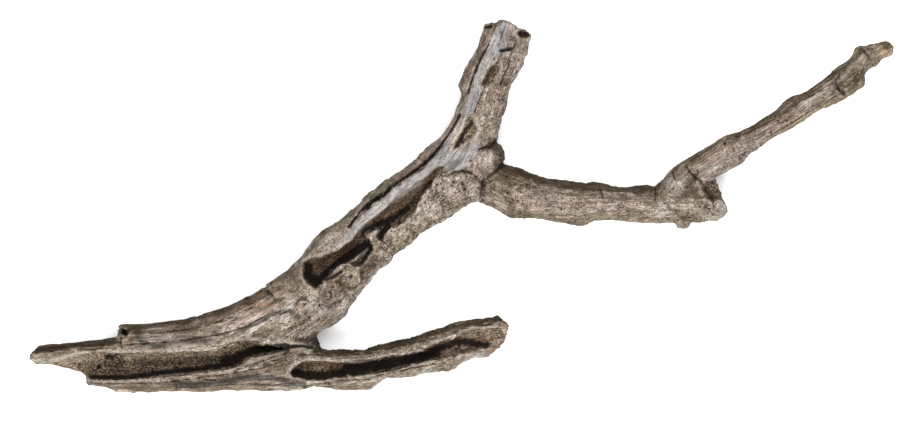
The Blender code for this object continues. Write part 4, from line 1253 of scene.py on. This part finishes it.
def make_splinters(settings, wood):
    """Splinters of random lengths that stand out of each broken end."""
    chance = random.Random(5)
    tree = surface_tree(wood.data)
    bm = bmesh.new()
    for one, two, low, high, degrees, reach in BROKEN_ENDS.values():
        out = Vector((math.cos(math.radians(degrees)), math.sin(math.radians(degrees)), 0))
        for _ in range(settings.splinters):
            t = chance.random()
            x, y = (a + (b - a) * t for a, b in zip(one, two))
            start = world_of(x, y, chance.uniform(low, high)) + out * FROM_OUTSIDE * MM
            hit = tree.ray_cast(start, -out, 2 * FROM_OUTSIDE * MM)[0]
            heading = out + Vector((chance.gauss(0, 0.18), chance.gauss(0, 0.18), chance.gauss(0, 0.16)))
            length = settings.splinter_length * reach * chance.uniform(0.35, 1.0)
            width = chance.uniform(*SPLINTER_WIDTHS) * MM
            if hit:
                add_splinter(bm, hit, heading.normalized(), length, width, chance)
    return new_object("splinters", bm)


# Rims that shed bark, as plan places
FLAKE_RIMS = [
    [(321, 283), (329, 273), (339, 265), (350, 262), (360, 253), (371, 246)],
    [(386, 234), (391, 229), (402, 226), (412, 216), (420, 203), (429, 190), (438, 177)],
    [(120, 352), (150, 351.5), (180, 350.5), (212, 349.5), (228, 344), (244, 339)],
    [(92, 379), (120, 381), (150, 380), (180, 375), (212, 371), (236, 369), (246, 360), (268, 356)],
    [(300, 361), (330, 359.5), (358, 363), (378, 359), (400, 355), (424, 346), (446, 338), (462, 332)],
    [(310, 382), (336, 378.5), (366, 375.5), (396, 370), (424, 363.5), (446, 361), (462, 349)],
    [(346, 230), (356, 216), (368, 202), (384, 192), (402, 177), (420, 164), (434, 150), (447, 133)],
    [(240, 303), (262, 291), (284, 276), (304, 257), (320, 238), (336, 226)],
    [(478, 62), (470, 80), (464, 98), (460, 112)],
    [(522, 40), (516, 60), (508, 82), (502, 106), (498, 126)],
    [(500, 206), (530, 214), (566, 219), (604, 215), (648, 218), (690, 219)],
    [(700, 180), (712, 184), (720, 196), (724, 208)],
    [(835, 72), (833, 82), (838, 92), (848, 94)],
    [(450, 336), (470, 325), (490, 321), (502, 325)],
]


def add_flake(bm, place, length, width, chance):
    """A thin curled plate, pointed at both ends."""
    curl = chance.uniform(0.10, 0.35) * width
    thick = FLAKE_THICKNESS * MM
    rings = []
    for at in (-1.0, -0.55, 0.0, 0.55, 1.0):
        wide = width / 2 * (1 - 0.85 * at * at) * chance.uniform(0.8, 1.1)
        lift = curl * at * at * chance.uniform(0.6, 1.2)
        section = [
            (-wide, lift - thick), (0, lift - thick * 0.6), (wide, lift + curl - thick),
            (wide * 0.95, lift + curl), (0, lift + thick * 0.6), (-wide * 0.95, lift),
        ]
        rings.append([(at * length / 2, across, up) for across, up in section])
    add_rings(bm, rings, place)


def make_flakes(settings, wood):
    """Bark flakes that lie on the wood along each rim, turned roughly along it."""
    chance = random.Random(8)
    tree = surface_tree(wood.data)
    bm = bmesh.new()
    for rim in FLAKE_RIMS:
        for (x0, y0), (x1, y1) in zip(rim, rim[1:]):
            stretch = math.hypot(x1 - x0, y1 - y0)
            tangent = Vector((x1 - x0, y0 - y1, 0)) / stretch
            for _ in range(round(stretch * MM / settings.flake_spacing)):
                t = chance.random()
                x = x0 + (x1 - x0) * t + chance.gauss(0, FLAKE_SCATTER)
                y = y0 + (y1 - y0) * t + chance.gauss(0, FLAKE_SCATTER)
                hit, normal = tree.ray_cast(world_of(x, y, OVER_BRANCH), DOWN)[:2]
                length = settings.flake_length * chance.uniform(0.35, 1.0)
                width = length * chance.uniform(0.28, 0.5)
                tilt = Euler((chance.gauss(0, 0.22), chance.gauss(0, 0.10), chance.gauss(0, 0.25)))
                if not hit or normal.z < STEEPEST_FLAKE:
                    continue
                ahead = (tangent - normal * tangent.dot(normal)).normalized()
                turn = Matrix((ahead, normal.cross(ahead), normal)).transposed()
                place = Matrix.Translation(hit + normal * 0.1 * MM) @ (turn @ tilt.to_matrix()).to_4x4()
                add_flake(bm, place, length, width, chance)
    return new_object("bark_flakes", bm)


def make_crumbs(settings, wood):
    """Crumbs of moss and dirt, thickest on the far side."""
    chance = random.Random(13)
    bm = bmesh.new()
    mossy = np.empty(len(wood.data.vertices))
    wood.data.attributes["moss"].data.foreach_get("value", mossy)
    places = np.flatnonzero(mossy > LEAST_MOSS)
    for _ in range(settings.crumbs if len(places) else 0):
        vert = wood.data.vertices[int(places[chance.randrange(len(places))])]
        size = settings.crumb_size / 2 * chance.uniform(0.35, 1.0)
        turn = Euler([chance.uniform(0, 6.3) for _ in range(3)]).to_matrix().to_4x4()
        squash = Matrix.Diagonal((size, size * chance.uniform(0.6, 1.0), size * chance.uniform(0.5, 0.9), 1))
        place = Matrix.Translation(vert.co + vert.normal * size * 0.25) @ turn @ squash
        bmesh.ops.create_icosphere(bm, subdivisions=1, radius=1.0, matrix=place)
    return new_object("moss_crumbs", bm)


class OBJECT_OT_branch_wood(bpy.types.Operator):
    """Replace the plain solid with weathered wood"""

    bl_idname = "object.branch_wood"
    bl_label = "Weathered Wood"

    def execute(self, context):
        dress_wood(context.scene.branch_wood)
        return {"FINISHED"}


def add_loose(make, settings):
    """Makes one group of small pieces and matches it to the wood that it sits on."""
    wood = bpy.data.objects["weathered_branch"]
    pieces = make(settings, wood)
    take_after(pieces, wood)
    hand_over(pieces, wood.data.materials[0])


class OBJECT_OT_branch_splinters(bpy.types.Operator):
    """Stand splinters on the broken ends"""

    bl_idname = "object.branch_splinters"
    bl_label = "Splinters"

    def execute(self, context):
        add_loose(make_splinters, context.scene.branch_loose)
        return {"FINISHED"}


class OBJECT_OT_branch_flakes(bpy.types.Operator):
    """Lay bark flakes along the rims"""

    bl_idname = "object.branch_flakes"
    bl_label = "Bark Flakes"

    def execute(self, context):
        add_loose(make_flakes, context.scene.branch_loose)
        return {"FINISHED"}


class OBJECT_OT_branch_crumbs(bpy.types.Operator):
    """Scatter crumbs of moss over the far side"""

    bl_idname = "object.branch_crumbs"
    bl_label = "Moss Crumbs"

    def execute(self, context):
        add_loose(make_crumbs, context.scene.branch_loose)
        return {"FINISHED"}


# The stage

# Place and size of each light, in metres
KEY_LIGHT = ((-0.4, -2.0, 2.2), 2.0)
TOP_LIGHT = ((0.3, 0.9, 3.0), 2.6)


def area_light(name, place, size, power):
    """A round soft light that looks at the middle of the floor."""
    bpy.ops.object.light_add(type="AREA", location=place)
    lamp = bpy.context.object
    lamp.name = name
    lamp.data.shape = "DISK"
    lamp.data.size = size
    lamp.data.energy = power
    lamp.rotation_euler = (-Vector(place)).to_track_quat("-Z", "Y").to_euler()
    return lamp


def set_stage(settings):
    """A pale floor, two soft lights, an even sky, and a camera that looks straight down on the branch."""
    bpy.ops.object.select_all(action="DESELECT")
    bpy.ops.mesh.primitive_plane_add(size=settings.floor_size)
    floor = bpy.context.object
    floor.name = "floor"
    floor.data.materials.append(floor_finish())
    key = area_light("key_light", *KEY_LIGHT, settings.key_power)
    top = area_light("top_light", *TOP_LIGHT, settings.top_power)

    scene = bpy.context.scene
    world = bpy.data.worlds.new("studio")
    world.use_nodes = True
    sky = world.node_tree.nodes["Background"]
    sky.inputs["Color"].default_value = (1, 1, 1, 1)
    sky.inputs["Strength"].default_value = settings.sky_strength
    scene.world = world
    scene.view_settings.view_transform = "Standard"

    view = bpy.data.cameras.new("camera")
    view.lens = settings.lens
    camera = bpy.data.objects.new("camera", view)
    scene.collection.objects.link(camera)
    distance = VIEW_WIDTH * settings.lens / view.sensor_width
    camera.location = world_of(*VIEW_CENTRE, VIEW_LEVEL + distance)
    scene.camera = camera


class SCENE_OT_branch_stage(bpy.types.Operator):
    """Set the floor, the lights and the camera"""

    bl_idname = "scene.branch_stage"
    bl_label = "Branch Stage"

    def execute(self, context):
        set_stage(context.scene.branch_stage)
        return {"FINISHED"}


LOOSE_OPERATORS = [OBJECT_OT_branch_splinters, OBJECT_OT_branch_flakes, OBJECT_OT_branch_crumbs]


class VIEW3D_PT_branch(bpy.types.Panel):
    """Lists the branch's pieces and the stage"""

    bl_label = "Tree Branch"
    bl_space_type = "VIEW_3D"
    bl_region_type = "UI"
    bl_category = "Branch"

    def draw(self, context):
        scene = context.scene
        for settings, operators in (
            (scene.branch_wood, [OBJECT_OT_branch_wood]),
            (scene.branch_loose, LOOSE_OPERATORS),
            (scene.branch_stage, [SCENE_OT_branch_stage]),
        ):
            box = self.layout.box()
            for operator in operators:
                box.operator(operator.bl_idname)
            for name in settings.__annotations__:
                box.prop(settings, name)


CLASSES = (
    BranchWoodSettings,
    BranchLooseSettings,
    BranchStageSettings,
    OBJECT_OT_branch_wood,
    *LOOSE_OPERATORS,
    SCENE_OT_branch_stage,
    VIEW3D_PT_branch,
)


def register():
    for cls in CLASSES:
        bpy.utils.register_class(cls)
    bpy.types.Scene.branch_wood = PointerProperty(type=BranchWoodSettings)
    bpy.types.Scene.branch_loose = PointerProperty(type=BranchLooseSettings)
    bpy.types.Scene.branch_stage = PointerProperty(type=BranchStageSettings)


def unregister():
    del bpy.types.Scene.branch_stage
    del bpy.types.Scene.branch_loose
    del bpy.types.Scene.branch_wood
    for cls in reversed(CLASSES):
        bpy.utils.unregister_class(cls)


def main():
    register()
    bpy.ops.object.branch_wood()
    bpy.ops.object.branch_splinters()
    bpy.ops.object.branch_flakes()
    bpy.ops.object.branch_crumbs()
    bpy.ops.scene.branch_stage()


if __name__ == "__main__":
    main()
